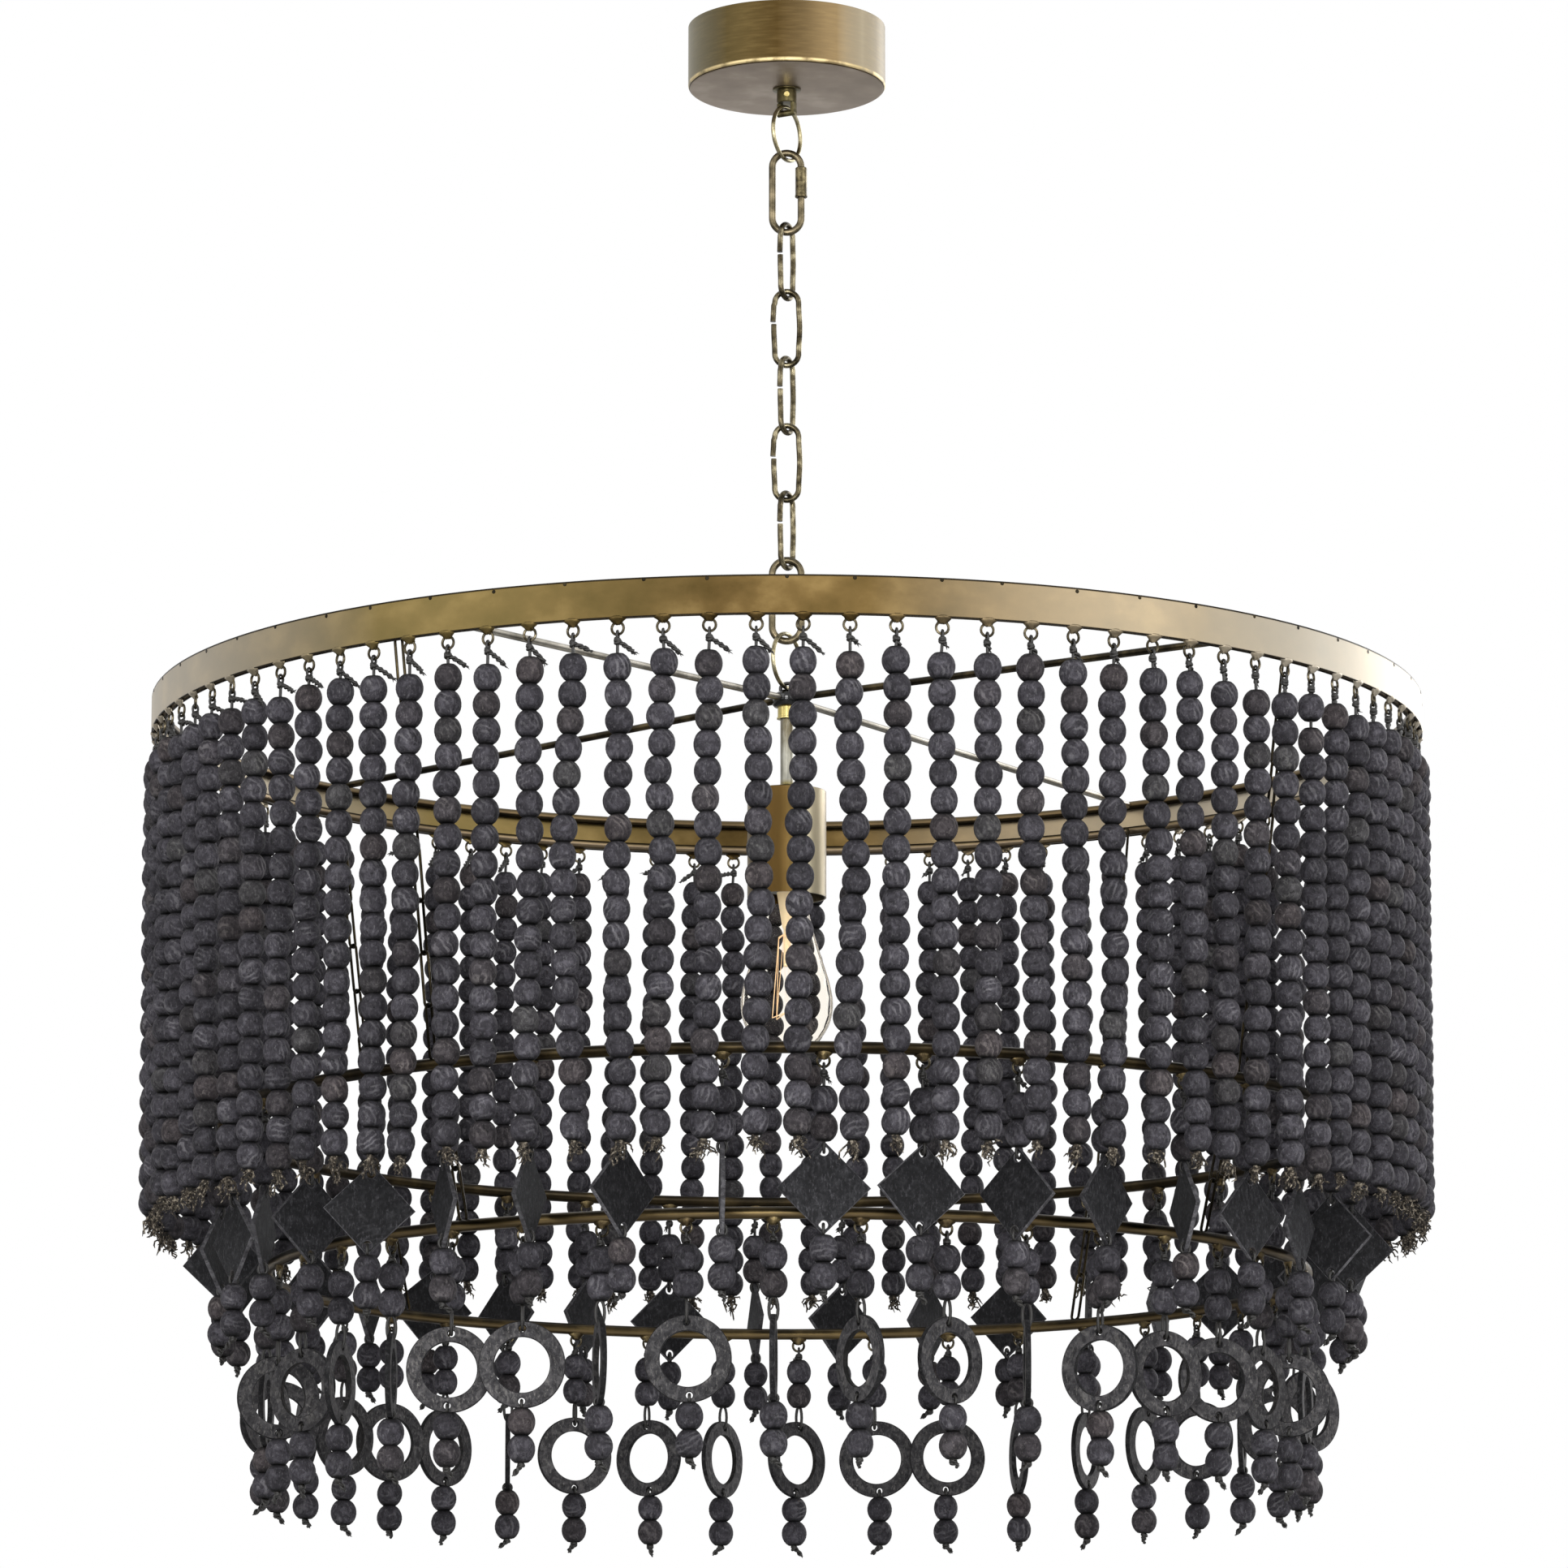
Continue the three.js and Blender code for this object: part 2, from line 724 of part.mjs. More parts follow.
function strandRail({ first, next, start, end }) {
  const rail = hoopArc(hoopRadius, hoopWire, railHeight, hoopSides, hoopWireSides, 0, start, end);
  const levels = beadColumn(railHeight - weldDepth);
  const radiusAt = (azimuth) => hoopReach(hoopRadius, hoopSides, 0, azimuth) + tierOneOffset;
  const places = strandPlaces(tierOneCount, radiusAt, tierOnePhase).slice(first, next);
  return union([rail, ...places.map((spot) => strandFrom(levels, spot))]);
}

// Square plate that hangs by a corner
function cornerPlate(height) {
  const side = plateDiagonal / Math.SQRT2;
  const geometry = new THREE.BoxGeometry(side, plateThickness, side);
  geometry.rotateY(Math.PI / 4);
  geometry.translate(0, 0, height);
  return solidOf(geometry);
}

function washer(height) {
  const profile = [[washerBore / 2, washerThickness / 2], [washerBore / 2, -washerThickness / 2],
    [washerDiameter / 2, -washerThickness / 2], [washerDiameter / 2, washerThickness / 2]];
  const ring = turned([...profile, profile[0]], washerSides);
  return ring.rotate([90, 0, 0]).rotate([0, 180 / washerSides, 0]).translate([0, 0, height]);
}

// An arc of a rod ring with strands of two beads, a pendant and two beads
function pendantArc(tier, { first, next, start, end }) {
  const { radius, height, count, phase, drop, slack, pendantHeight, holeInset, pendant, yaws } = tier;
  const firstBead = height - drop - ringRod / 2;
  const pendantTop = firstBead - beadPitch - beadDiameter / 2 - slack;
  const middle = pendantTop - pendantHeight / 2;
  const upper = upperPair(height, firstBead, pendantTop - holeInset);
  const lowerHole = pendantTop - pendantHeight + holeInset;
  const lower = lowerPair(lowerHole, pendantTop - pendantHeight - beadDiameter / 2);
  const solids = [hoopArc(radius, ringRod, height, count, ringRodSides, phase, start, end)];
  for (const spot of strandPlaces(count, () => radius, phase).slice(first, next)) {
    solids.push(strandFrom(upper, spot), strandFrom(lower, spot));
    solids.push(pendant(middle).rotate([0, 0, yaws[spot.number]]).translate([spot.x, spot.y, 0]));
  }
  return union(solids);
}

const tierTwo = {
  radius: ringTwoRadius,
  height: ringTwoHeight,
  count: tierTwoCount,
  phase: tierTwoPhase,
  drop: tierTwoDrop,
  slack: tierTwoSlack,
  pendantHeight: plateDiagonal,
  holeInset: plateHoleInset,
  pendant: cornerPlate,
  yaws: plateYaws,
};

const tierThree = {
  radius: ringThreeRadius,
  height: ringThreeHeight,
  count: tierThreeCount,
  phase: tierThreePhase,
  drop: tierThreeDrop,
  slack: tierThreeSlack,
  pendantHeight: washerDiameter,
  holeInset: washerHoleInset,
  pendant: washer,
  yaws: washerYaws,
};

// A chain of long narrow links between two points of the XZ plane, each link fused to the next
function hangerChain(start, end) {
  const span = start.distanceTo(end);
  const nominalPitch = hangerLinkLength - 2 * hangerWire;
  const count = Math.max(1, Math.round(span / nominalPitch));
  const pitch = span / count;
  const length = pitch + 2 * hangerWire - weldDepth;
  const links = [];
  for (let i = 0; i < count; i += 1) {
    const path = squarePath(length - hangerWire, hangerLinkWidth - hangerWire);
    const geometry = bentWire(path, hangerWire, hangerWireSides);
    if (i % 2 === 0) geometry.rotateZ(Math.PI / 2);
    geometry.translate(0, 0, -pitch * (i + 1 / 2));
    links.push(solidOf(geometry));
  }
  const tilt = Math.atan2(start.x - end.x, start.y - end.y);
  return union(links).rotate([0, THREE.MathUtils.radToDeg(tilt), 0]).translate([start.x, 0, start.y]);
}

function hanger(start, end, azimuth) {
  return hangerChain(start, end).rotate([0, 0, THREE.MathUtils.radToDeg(azimuth) - 90]);
}

place('band_strip', bandStrip(), 'brass');
place('top_hoop', hoop(hoopRadius, hoopWire, bandTop - hoopWire / 2, hoopSides, hoopWireSides, 0), 'bronze');
arcShares(tierOneCount, tierOnePhase, tierOneArcs).forEach((arc, i) => {
  place(`strand_rail_${i + 1}`, strandRail(arc), 'charcoalWood');
});
spokeAzimuths.forEach((azimuth, i) => place(`spoke_${i + 1}`, spoke(azimuth), 'bronze'));
arcShares(tierTwoCount, tierTwoPhase, tierTwoArcs).forEach((arc, i) => {
  place(`ring_2_arc_${i + 1}`, pendantArc(tierTwo, arc), 'charcoalWood');
});
arcShares(tierThreeCount, tierThreePhase, tierThreeArcs).forEach((arc, i) => {
  place(`ring_3_arc_${i + 1}`, pendantArc(tierThree, arc), 'charcoalWood');
});

// A hanger starts beside the upper rod and ends on top of the lower one
const besideWire = 2 * seatGap + sectionRadius(hangerWire, hangerWireSides);
const overhang = (hangerWire - weldDepth) / 2 + flatRadius(hangerWire, hangerWireSides);
const aboveRod = flatRadius(ringRod, ringRodSides) + 2 * seatGap + overhang;
const besideHoop = flatRadius(hoopWire, hoopWireSides) + besideWire;
const besideRod = flatRadius(ringRod, ringRodSides) + besideWire;
spokeAzimuths.forEach((azimuth, i) => {
  const hoopAt = hoopReach(hoopRadius, hoopSides, 0, azimuth);
  const ringTwoAt = hoopReach(ringTwoRadius, tierTwoCount, tierTwoPhase, azimuth);
  const ringThreeAt = hoopReach(ringThreeRadius, tierThreeCount, tierThreePhase, azimuth);
  const upperStart = new THREE.Vector2(hoopAt - besideHoop, bandBottom + hoopWire / 2);
  const upperEnd = new THREE.Vector2(ringTwoAt, ringTwoHeight + aboveRod);
  const lowerStart = new THREE.Vector2(ringTwoAt - besideRod, ringTwoHeight);
  const lowerEnd = new THREE.Vector2(ringThreeAt, ringThreeHeight + aboveRod);
  place(`upper_hanger_${i + 1}`, hanger(upperStart, upperEnd, azimuth), 'chain');
  place(`lower_hanger_${i + 1}`, hanger(lowerStart, lowerEnd, azimuth), 'chain');
});

export default chandelier;
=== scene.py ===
import math

import bpy
import numpy as np
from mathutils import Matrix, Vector


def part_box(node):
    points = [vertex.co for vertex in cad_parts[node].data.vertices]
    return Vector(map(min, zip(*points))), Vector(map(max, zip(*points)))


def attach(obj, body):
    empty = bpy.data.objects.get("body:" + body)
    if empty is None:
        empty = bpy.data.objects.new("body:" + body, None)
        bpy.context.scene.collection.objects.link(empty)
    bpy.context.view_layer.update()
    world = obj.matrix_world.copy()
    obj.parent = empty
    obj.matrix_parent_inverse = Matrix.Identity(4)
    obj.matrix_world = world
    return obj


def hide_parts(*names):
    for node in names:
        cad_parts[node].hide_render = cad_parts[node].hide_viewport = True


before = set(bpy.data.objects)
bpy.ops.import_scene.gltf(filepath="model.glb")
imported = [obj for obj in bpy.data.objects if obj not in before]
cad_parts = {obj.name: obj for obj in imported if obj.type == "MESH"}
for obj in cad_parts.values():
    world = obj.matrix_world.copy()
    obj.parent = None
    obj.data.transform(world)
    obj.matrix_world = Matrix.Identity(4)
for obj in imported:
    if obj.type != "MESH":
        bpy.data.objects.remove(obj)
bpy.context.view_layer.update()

# Looks of a beaded chandelier. Shapes are made in millimetres and built in metres,
# with azimuth 0 at the front, towards -Y, and growing towards +X.
MILLIMETRE = 0.001
chance = np.random.default_rng(11)

# Canopy and its collar
canopyDiameter = 140
canopyWall = 1.2
canopyEdgeRadius = 2.5
canopyHole = 10.2
# The painted highlight along the canopy's rolled lower edge and the painted shade line under it: their
# height and their fades
canopyLip = 3.2
highlightFade = 0.5
shadeLineFade = 0.1
undersideFade = 0.05
collarDiameter = 14
collarBevel = 0.6
collarBore = 10.2
collarBoreDepth = 6.5
collarHeight = 10.2
flangeDiameter = 20
flangeHeight = 0.7
screwDiameter = 4.6
screwHeight = 2.2
screwStand = 0.9
screwBevel = 0.5
stirrupYaw = math.radians(150)
stirrupLegThickness = 3
stirrupLegDepth = 5
stirrupBarDiameter = 4.6
stirrupBevel = 0.7

# Chain
ringWire = 3
ringYaw = math.radians(60)
quickLinkWire = 5
quickLinkWidth = 25.4
quickLinkGap = 6
quickLinkGapInset = 3.1
nutBody = 8.3
nutFlange = 8.8
nutFlangeHeight = 1.6
nutBore = 5.9
nutBevel = 0.5
linkWire = 4
linkWidth = 20.8
linkGap = 1.3
linkOffset = 0.7
linkBow = 0.7
linkCount = 5

# Hub, stem and socket tube
hubDiameter = 20
hubHeight = 7.5
hubRim = 2.6
hubSkirt = 2.2
hubCrown = 2
hubClearance = 0.15
eyeWire = 2.6
eyeWidth = 10
eyeRise = 3
eyeTop = -475.6
collarBodyDiameter = 12.8
collarFlangeHeight = 1.8
collarLipHeight = 0.9
stemDiameter = 9
stemFootDiameter = 15
stemFootHeight = 4.6
socketDiameter = 55
socketWall = 1.2
socketRim = 0.5

# Bulb
bulbRadius = 32
glassWall = 0.7
mountTopRadius = 7
mountNeckRadius = 3.2
mountFlare = 2
mountHeight = 26
mountRodRadius = 2.3
mountRodHeight = 52
filamentWire = 0.32
filamentTopRadius = 6
filamentLowRadius = 10
filamentTop = -656
filamentLow = -712
filamentLegs = 8
supportWire = 0.4
supportRise = 4

# Band, hoops and spokes
bandRadius = 442
bandWall = 1.5
bandTop = -494
bandBottom = -519.5
bandBevel = 0.3
# The width of the painted shade lines along the band's top and bottom edges
bandShadeLine = 1.2
bandNotches = 58
notchDiameter = 2.6
notchDepth = 0.5
notchInset = 1.2
notchScatter = 0.1
hoopRadius = 436.95
hoopWire = 6.5
spokeWire = 5
spokeAzimuths = [math.radians(angle) for angle in (-36, 50, 144, -130)]
spokeHubInset = 1.5
spokeGap = 0.3

# Lower rings
ringRod = 8
ringTwoRadius = 390
ringTwoHeight = -791
ringThreeRadius = 357
ringThreeHeight = -893

# Hanger chains
hangerWire = 2
hangerLinkLength = 38
hangerLinkWidth = 8
hangerInset = 7.3

# Eyelets and their weld tabs
eyeletWire = 1.8
eyeletRadius = 4.1
eyeletDrop = 6.3
rodEyeletDrop = 4.6
eyeletTwist = 0.12
tabWidth = 12
tabHeight = 3.6
tabThickness = 4.4
tabRise = 1.3
tabShift = 2.2
rodTabThickness = 6
rodTabRise = 3
weldWander = 0.6

# A weld tab's levels, as shares of its rise above 0 and of its height below, and shares of its width
tabSteps = [(1, 0.3), (1, 0.7), (0.5, 0.95), (0, 1), (-0.3, 0.84), (-0.6, 0.6), (-1, 0.42), (-1, 0.2)]
tabRoundness = 0.45

# Beads
beadWidth = 18
beadHeight = 17.3
beadFlat = 9
beadRound = 0.8
beadPitch = 17.4
beadWander = 0.45
beadTilt = math.radians(3.2)
beadScale = 0.016
beadScaleLimits = (-0.03, 0.02)
beadShadeStart = 0.7
strandRadius = 438.1
strandOuter = 438.8
strandLean = 2.2
strandBow = 1.3
strandWaves = (0.6, 1.6)
strandLift = 1.6
strandLiftLimit = 3

# Cord, knots and tails, with turns and falls in radians
cordRadius = 1.05
cordSink = 1.5
loopHalfWidth = 1.9
loopHalfHeight = 3
loopSink = 0.6
loopThinning = 0.85
knotDrop = 3.6
knotRadius = 1.55
knotWire = 1.2
knotTilt = math.radians(35)
knotRoll = 0.3
knotLift = 0.7
knotSteps = 10
tailRadius = 1.05
tailTwist = 0.9
tailPitch = 7
tailSag = 0.12
tailSteps = 9
tailTurn = (-0.1, 0.75)
longTail = 12.5
longTailFall = (0.1, 0.75)
longTailWander = 2.5
longTailAzimuth = 0.05
shortTail = 5
shortTailFall = (0.5, 1.2)
shortTailWander = 1.5
hairRadius = 0.5
hairThinning = 0.8
hairLength = 3.6
hairLengthShare = (0.6, 1.1)
hairTip = 0.08
hairCount = 5
hairSpread = 0.3
tuftRadius = 0.62
tuftLength = 9
tuftWander = 2
tuftTip = 0.2
tuftHairs = 18
tuftSpread = 0.85
tuftFall = 0.8
tuftSteps = 6
darkKnotDrop = 1.6
darkTail = 7.5
darkTailShare = (0.75, 1)
darkTailFall = (0.45, 1)

# The three tiers
tierOneCount = 92
tierOneBeads = 18
tierOnePhase = math.radians(1.35)
tierOneArcs = 7
tierOneTop = -549.4
tierTwoCount = 38
tierTwoPhase = math.radians(3.4)
tierTwoArcs = 6
tierTwoTop = -825
tierThreeCount = 40
tierThreePhase = math.radians(-1.4)
tierThreeArcs = 6
tierThreeTop = -921
raisedBead = 13
raisedBy = 5.2

# Plates and washers
plateDiagonal = 60
plateThickness = 3
plateHoleDiameter = 6
plateHoleInset = 6.5
plateMiddle = -881.4
washerDiameter = 56
washerBore = 36
washerThickness = 3.5
washerHoleDiameter = 4.6
washerHoleInset = 4.6
washerMiddle = -985.9
pendantEdge = 0.45
pendantSway = math.radians(3)
pendantScatter = 0.5
swayLimit = math.radians(6)
cordLoopWidth = 2.9
cordLoopOverlap = 0.6
cordLoopSteps = 16

# How far each plate and washer has turned away from the front, in degrees, from strand 0 on
plateYaws = [
    0, 22, -40, 55, -76, 44, 68, -33, 12, 65, -84, 30, -50, 5, 71, 90, -24, 58, 38,
    -80, 17, 62, -46, 9, 75, -34, 87, 52, -20, 68, -60, 80, 36, 0, -73, 72, 49, -88,
]
washerYaws = [
    88, -60, 44, 90, -33, 31, 20, 55, -12, 78, 40, -66, 5, 83, -30, 60, 68, -80, 10, -10,
    44, 61, -34, 20, -88, 51, 35, 48, -72, 15, 58, 86, 15, -38, 75, 88, 0, 0, -82, 0,
]

# Shares of the bulb's radius and of the glass's height, from the neck to the tip
glassShares = [
    (0.44, 0), (0.45, 0.06), (0.56, 0.22), (0.8, 0.45), (0.93, 0.57), (1, 0.7),
    (0.96, 0.79), (0.84, 0.87), (0.62, 0.94), (0.34, 0.98), (0, 1),
]

# Facet counts
beadSides = 20
beadSteps = 10
wireSides = 18
ropeSides = 8
hairSides = 5
hoopSteps = 240
hoopSides = 16
latheSides = 96
smallSides = 40
arcSteps = 20
eyeletSteps = 18
eyeletSides = 8
glassSteps = 60
hangerSides = 10
hangerArcSteps = 8
holeSteps = 20
washerSteps = 64
loopSteps = 12

# How deep the wood's grain is
woodRelief = 0.5

# Room, lights and camera in metres: each light has a name, a place, a width and its watts
lights = [
    ("left", (-2.9, -2.9, 0.6), 3.6, 70),
    ("right", (3.1, -2.7, 0.6), 3.4, 90),
    ("front", (-0.2, -4.9, -0.6), 1.8, 115),
    ("back", (2.4, 2.4, 0.4), 2, 50),
]
lightAim = (0, 0, -0.6)
cameraPlace = (-0.00195, -4.866, -1.463)
cameraTilt = math.radians(10.66)
cameraLens = 163.04
cameraSensor = 36
floorHeight = -2
floorSize = 12
worldGlow = 0.16


# Shapes: points, faces of four corners and faces of three corners

def shape_of(points, quads=(), corners=()):
    quads = np.array(quads, int).reshape(-1, 4)
    corners = np.array(corners, int).reshape(-1, 3)
    return np.array(points, float).reshape(-1, 3), quads, corners


def joined(shapes):
    points, quads, corners, start = [], [], [], 0
    for some_points, some_quads, some_corners in shapes:
        points.append(some_points)
        quads.append(some_quads + start)
        corners.append(some_corners + start)
        start += len(some_points)
    return np.vstack(points), np.vstack(quads), np.vstack(corners)


def turned_about(axis, angle):
    """The 3 x 3 matrix of a turn about an axis."""
    x, y, z = np.array(axis, float) / np.linalg.norm(axis)
    cross = np.array([[0, -z, y], [z, 0, -x], [-y, x, 0]])
    return np.eye(3) + math.sin(angle) * cross + (1 - math.cos(angle)) * cross @ cross


def moved(shape, shift=(0, 0, 0), turn=None):
    points, quads, corners = shape
    if turn is not None:
        points = points @ np.array(turn).T
    return points + np.array(shift, float), quads, corners


def at_azimuth(shape, azimuth):
    return moved(shape, turn=turned_about((0, 0, 1), azimuth))


def copies(shape, turns, shifts):
    """One shape made of many copies, each with its own 3 x 3 matrix and shift."""
    points, quads, corners = shape
    placed = np.einsum("kij,nj->kni", np.array(turns), points) + np.array(shifts)[:, None, :]
    starts = np.arange(len(placed))[:, None, None] * len(points)
    return placed.reshape(-1, 3), (quads + starts).reshape(-1, 4), (corners + starts).reshape(-1, 3)


def lathe(profile, sides):
    """A shape turned about Z from radius and height pairs, listed upwards on the outside."""
    profile = [tuple(pair) for pair in profile]
    closed = profile[0] == profile[-1]
    if closed:
        profile = profile[:-1]
    angles = 2 * np.pi * np.arange(sides) / sides
    points, rings = [], []
    for radius, height in profile:
        count = 1 if radius == 0 else sides
        rings.append(len(points) + np.arange(count))
        for angle in angles[:count]:
            points.append((radius * math.cos(angle), radius * math.sin(angle), height))
    quads, corners = [], []
    spans = len(rings) if closed else len(rings) - 1
    for i in range(spans):
        low, high = rings[i], rings[(i + 1) % len(rings)]
        for j in range(sides):
            k = (j + 1) % sides
            if len(low) > 1 and len(high) > 1:
                quads.append((low[j], low[k], high[k], high[j]))
            elif len(high) > 1:
                corners.append((low[0], high[k], high[j]))
            elif len(low) > 1:
                corners.append((low[j], low[k], high[0]))
    return shape_of(points, quads, corners)


def cylinder(diameter, low, high, sides, bevel=0):
    radius = diameter / 2
    if not bevel:
        return lathe([(0, low), (radius, low), (radius, high), (0, high)], sides)
    return lathe([
        (0, low), (radius - bevel, low), (radius, low + bevel),
        (radius, high - bevel), (radius - bevel, high), (0, high),
    ], sides)


def tube(path, radius, sides, closed=False):
    """A round tube along a path; the radius is one number or one for each point."""
    path = np.array(path, float)
    count = len(path)
    radii = np.broadcast_to(radius, (count,))
    if closed:
        along = np.roll(path, -1, 0) - np.roll(path, 1, 0)
    else:
        along = np.gradient(path, axis=0)
    along /= np.linalg.norm(along, axis=1)[:, None]
    side = np.cross(along[0], (0, 0, 1))
    if np.linalg.norm(side) < 0.1:
        side = np.cross(along[0], (0, 1, 0))
    angles = 2 * np.pi * np.arange(sides) / sides
    points = []
    for centre, forward, reach in zip(path, along, radii):
        side = side - forward * side.dot(forward)
        side /= np.linalg.norm(side)
        up = np.cross(forward, side)
        for angle in angles:
            points.append(centre + reach * (math.cos(angle) * side + math.sin(angle) * up))
    quads, corners = [], []
    for i in range(count if closed else count - 1):
        low, high = i * sides, (i + 1) % count * sides
        for j in range(sides):
            k = (j + 1) % sides
            quads.append((low + j, low + k, high + k, high + j))
    if not closed:
        points += [path[0], path[-1]]
        first, last = count * sides, count * sides + 1
        end = (count - 1) * sides
        for j in range(sides):
            k = (j + 1) % sides
            corners.append((first, k, j))
            corners.append((last, end + j, end + k))
    return shape_of(points, quads, corners)


def block(width, depth, height, bevel, middle):
    """A box with bevelled upright edges, standing round a middle point."""
    x, y = width / 2, depth / 2
    outline = [
        (x, bevel - y), (x, y - bevel), (x - bevel, y), (bevel - x, y),
        (-x, y - bevel), (-x, bevel - y), (bevel - x, -y), (x - bevel, -y),
    ]
    return moved(prism(outline, height / 2), middle)


def prism(outline, reach):
    """An upright prism over a convex outline, from -reach to reach."""
    count = len(outline)
    points = [(x, y, level) for level in (-reach, reach) for x, y in outline]
    points += [(0, 0, -reach), (0, 0, reach)]
    quads, corners = [], []
    for j in range(count):
        k = (j + 1) % count
        quads.append((j, k, count + k, count + j))
        corners.append((2 * count, k, j))
        corners.append((2 * count + 1, count + j, count + k))
    return shape_of(points, quads, corners)


def arc(radius_x, radius_z, start, end, steps, middle=(0, 0, 0)):
    """Points of an elliptic arc in the XZ plane."""
    angles = np.linspace(start, end, steps)
    zero = np.zeros(steps)
    return np.stack([radius_x * np.cos(angles), zero, radius_z * np.sin(angles)], 1) + np.array(middle)


def round_loop(half_width, half_height, wire, steps, sides):
    """A closed loop of round wire in the XZ plane."""
    return tube(arc(half_width, half_height, 0, 2 * math.pi, steps + 1)[:-1], wire, sides, True)


def circle(radius, steps, height):
    """Points of a level circle about Z, the first at the front."""
    angles = 2 * np.pi * np.arange(steps) / steps
    return np.stack([radius * np.sin(angles), -radius * np.cos(angles), np.full(steps, height)], 1)


def quarter(radius, level, reach, rise):
    """Radius and height pairs of a quarter of an ellipse, from its outer side to its top."""
    return [
        (radius + reach * math.cos(angle), level + rise * math.sin(angle))
        for angle in np.linspace(0, math.pi / 2, arcSteps // 2)
    ]


def stadium(length, width, steps):
    """The upper and the lower end of a loop that is long along Z, centred on the origin."""
    reach = (length - width) / 2
    radius = width / 2
    top = arc(radius, radius, 0, math.pi, steps, (0, 0, reach))
    bottom = arc(radius, radius, math.pi, 2 * math.pi, steps, (0, 0, -reach))
    return top, bottom


# Levels that come from the part

def levels(node):
    """The bottom and the top of a CAD node in millimetres."""
    low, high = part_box(node)
    return low.z / MILLIMETRE, high.z / MILLIMETRE


# Materials

def linear(colour):
    """A colour of the form 0xrrggbb as linear red, green, blue and alpha."""
    values = []
    for shift in (16, 8, 0):
        share = (colour >> shift & 255) / 255
        values.append(share / 12.92 if share <= 0.04045 else ((share + 0.055) / 1.055) ** 2.4)
    return (*values, 1)


class Paint:
    """A material with one shader and short ways to add textures to it."""

    def __init__(self, name):
        self.material = bpy.data.materials.new(name)
        self.material.use_nodes = True
        self.tree = self.material.node_tree
        self.shader = self.tree.nodes["Principled BSDF"]
        self.coordinates = self.node("ShaderNodeTexCoord").outputs["Object"]

    def fill(self, target, value):
        """Links an output to the input, or sets the input to a value."""
        if isinstance(value, bpy.types.NodeSocket):
            self.tree.links.new(value, target)
        else:
            target.default_value = value

    def node(self, kind, inputs=None, **settings):
        node = self.tree.nodes.new(kind)
        for key, value in settings.items():
            setattr(node, key, value)
        for key, value in (inputs or {}).items():
            self.fill(node.inputs[key], value)
        return node

    def set(self, **values):
        for key, value in values.items():
            self.fill(self.shader.inputs[key.replace("_", " ")], value)

    def island(self, reach):
        """Coordinates that are shifted at random for each separate piece of the mesh."""
        own = self.node("ShaderNodeNewGeometry").outputs["Random Per Island"]
        shift = self.node("ShaderNodeMath", {0: own, 1: reach}, operation="MULTIPLY")
        inputs = {0: self.coordinates, 1: shift.outputs[0]}
        self.coordinates = self.node("ShaderNodeVectorMath", inputs, operation="ADD").outputs[0]
        return own

    def noise(self, scale, detail=4, roughness=0.55, stretch=(1, 1, 1), distortion=0):
        mapping = self.node("ShaderNodeMapping", {"Vector": self.coordinates, "Scale": stretch})
        return self.node("ShaderNodeTexNoise", {
            "Vector": mapping.outputs["Vector"], "Scale": scale, "Detail": detail,
            "Roughness": roughness, "Distortion": distortion,
        }).outputs["Fac"]

    def along(self, axis):
        """One coordinate of the object, in metres."""
        return self.node("ShaderNodeSeparateXYZ", {0: self.coordinates}).outputs[axis]

    def ranged(self, value, low, high, to_low=0, to_high=1):
        inputs = {"Value": value, "From Min": low, "From Max": high, "To Min": to_low, "To Max": to_high}
        return self.node("ShaderNodeMapRange", inputs).outputs["Result"]

    def ramp(self, value, stops):
        node = self.node("ShaderNodeValToRGB", {"Fac": value})
        elements = node.color_ramp.elements
        while len(elements) < len(stops):
            elements.new(1)
        for element, (place, colour) in zip(elements, stops):
            element.position = place
            element.color = linear(colour)
        return node.outputs["Color"]

    def mixed(self, factor, first, second, blend="MIX"):
        """Mixes two colours; each is a socket or a colour, and the factor a socket or a number."""
        colours = [linear(tone) if isinstance(tone, int) else tone for tone in (first, second)]
        inputs = {0: factor, 6: colours[0], 7: colours[1]}
        return self.node("ShaderNodeMix", inputs, data_type="RGBA", blend_type=blend).outputs[2]

    def colour(self, socket):
        self.base = socket
        self.fill(self.shader.inputs["Base Color"], socket)

    def scaled(self, colour, value):
        """A colour times a value."""
        return self.node("ShaderNodeVectorMath", {0: colour, "Scale": value}, operation="SCALE").outputs[0]

    def shuffled(self, value, factor):
        """Another random value from a random value."""
        times = self.node("ShaderNodeMath", {0: value, 1: factor}, operation="MULTIPLY")
        return self.node("ShaderNodeMath", {0: times.outputs[0]}, operation="FRACT").outputs[0]

    def rings(self, scale, distortion):
        """Lines like the growth rings of wood."""
        return self.node("ShaderNodeTexWave", {
            "Vector": self.coordinates, "Scale": scale, "Distortion": distortion,
            "Detail": 3, "Detail Scale": 1.5,
        }, wave_type="RINGS", rings_direction="SPHERICAL").outputs["Fac"]

    def bump(self, height, strength, distance):
        node = self.node("ShaderNodeBump", {"Height": height, "Strength": strength, "Distance": distance})
        self.set(Normal=node.outputs["Normal"])

    def across(self, reach, stops, share):
        """Blends the colour with tones that change from left to right."""
        place = self.ranged(self.along("X"), -reach * MILLIMETRE, reach * MILLIMETRE)
        self.colour(self.mixed(share, self.base, self.ramp(place, stops)))

    def upwards(self, low, high, stops, share):
        """Blends the colour with tones that change from a low to a high level in millimetres."""
        place = self.ranged(self.along("Z"), low * MILLIMETRE, high * MILLIMETRE)
        self.colour(self.mixed(share, self.base, self.ramp(place, stops)))

    def below(self, level, fade):
        """1 below a level in millimetres, 0 above it."""
        return self.ranged(self.along("Z"), (level - fade) * MILLIMETRE, (level + fade) * MILLIMETRE, 1, 0)


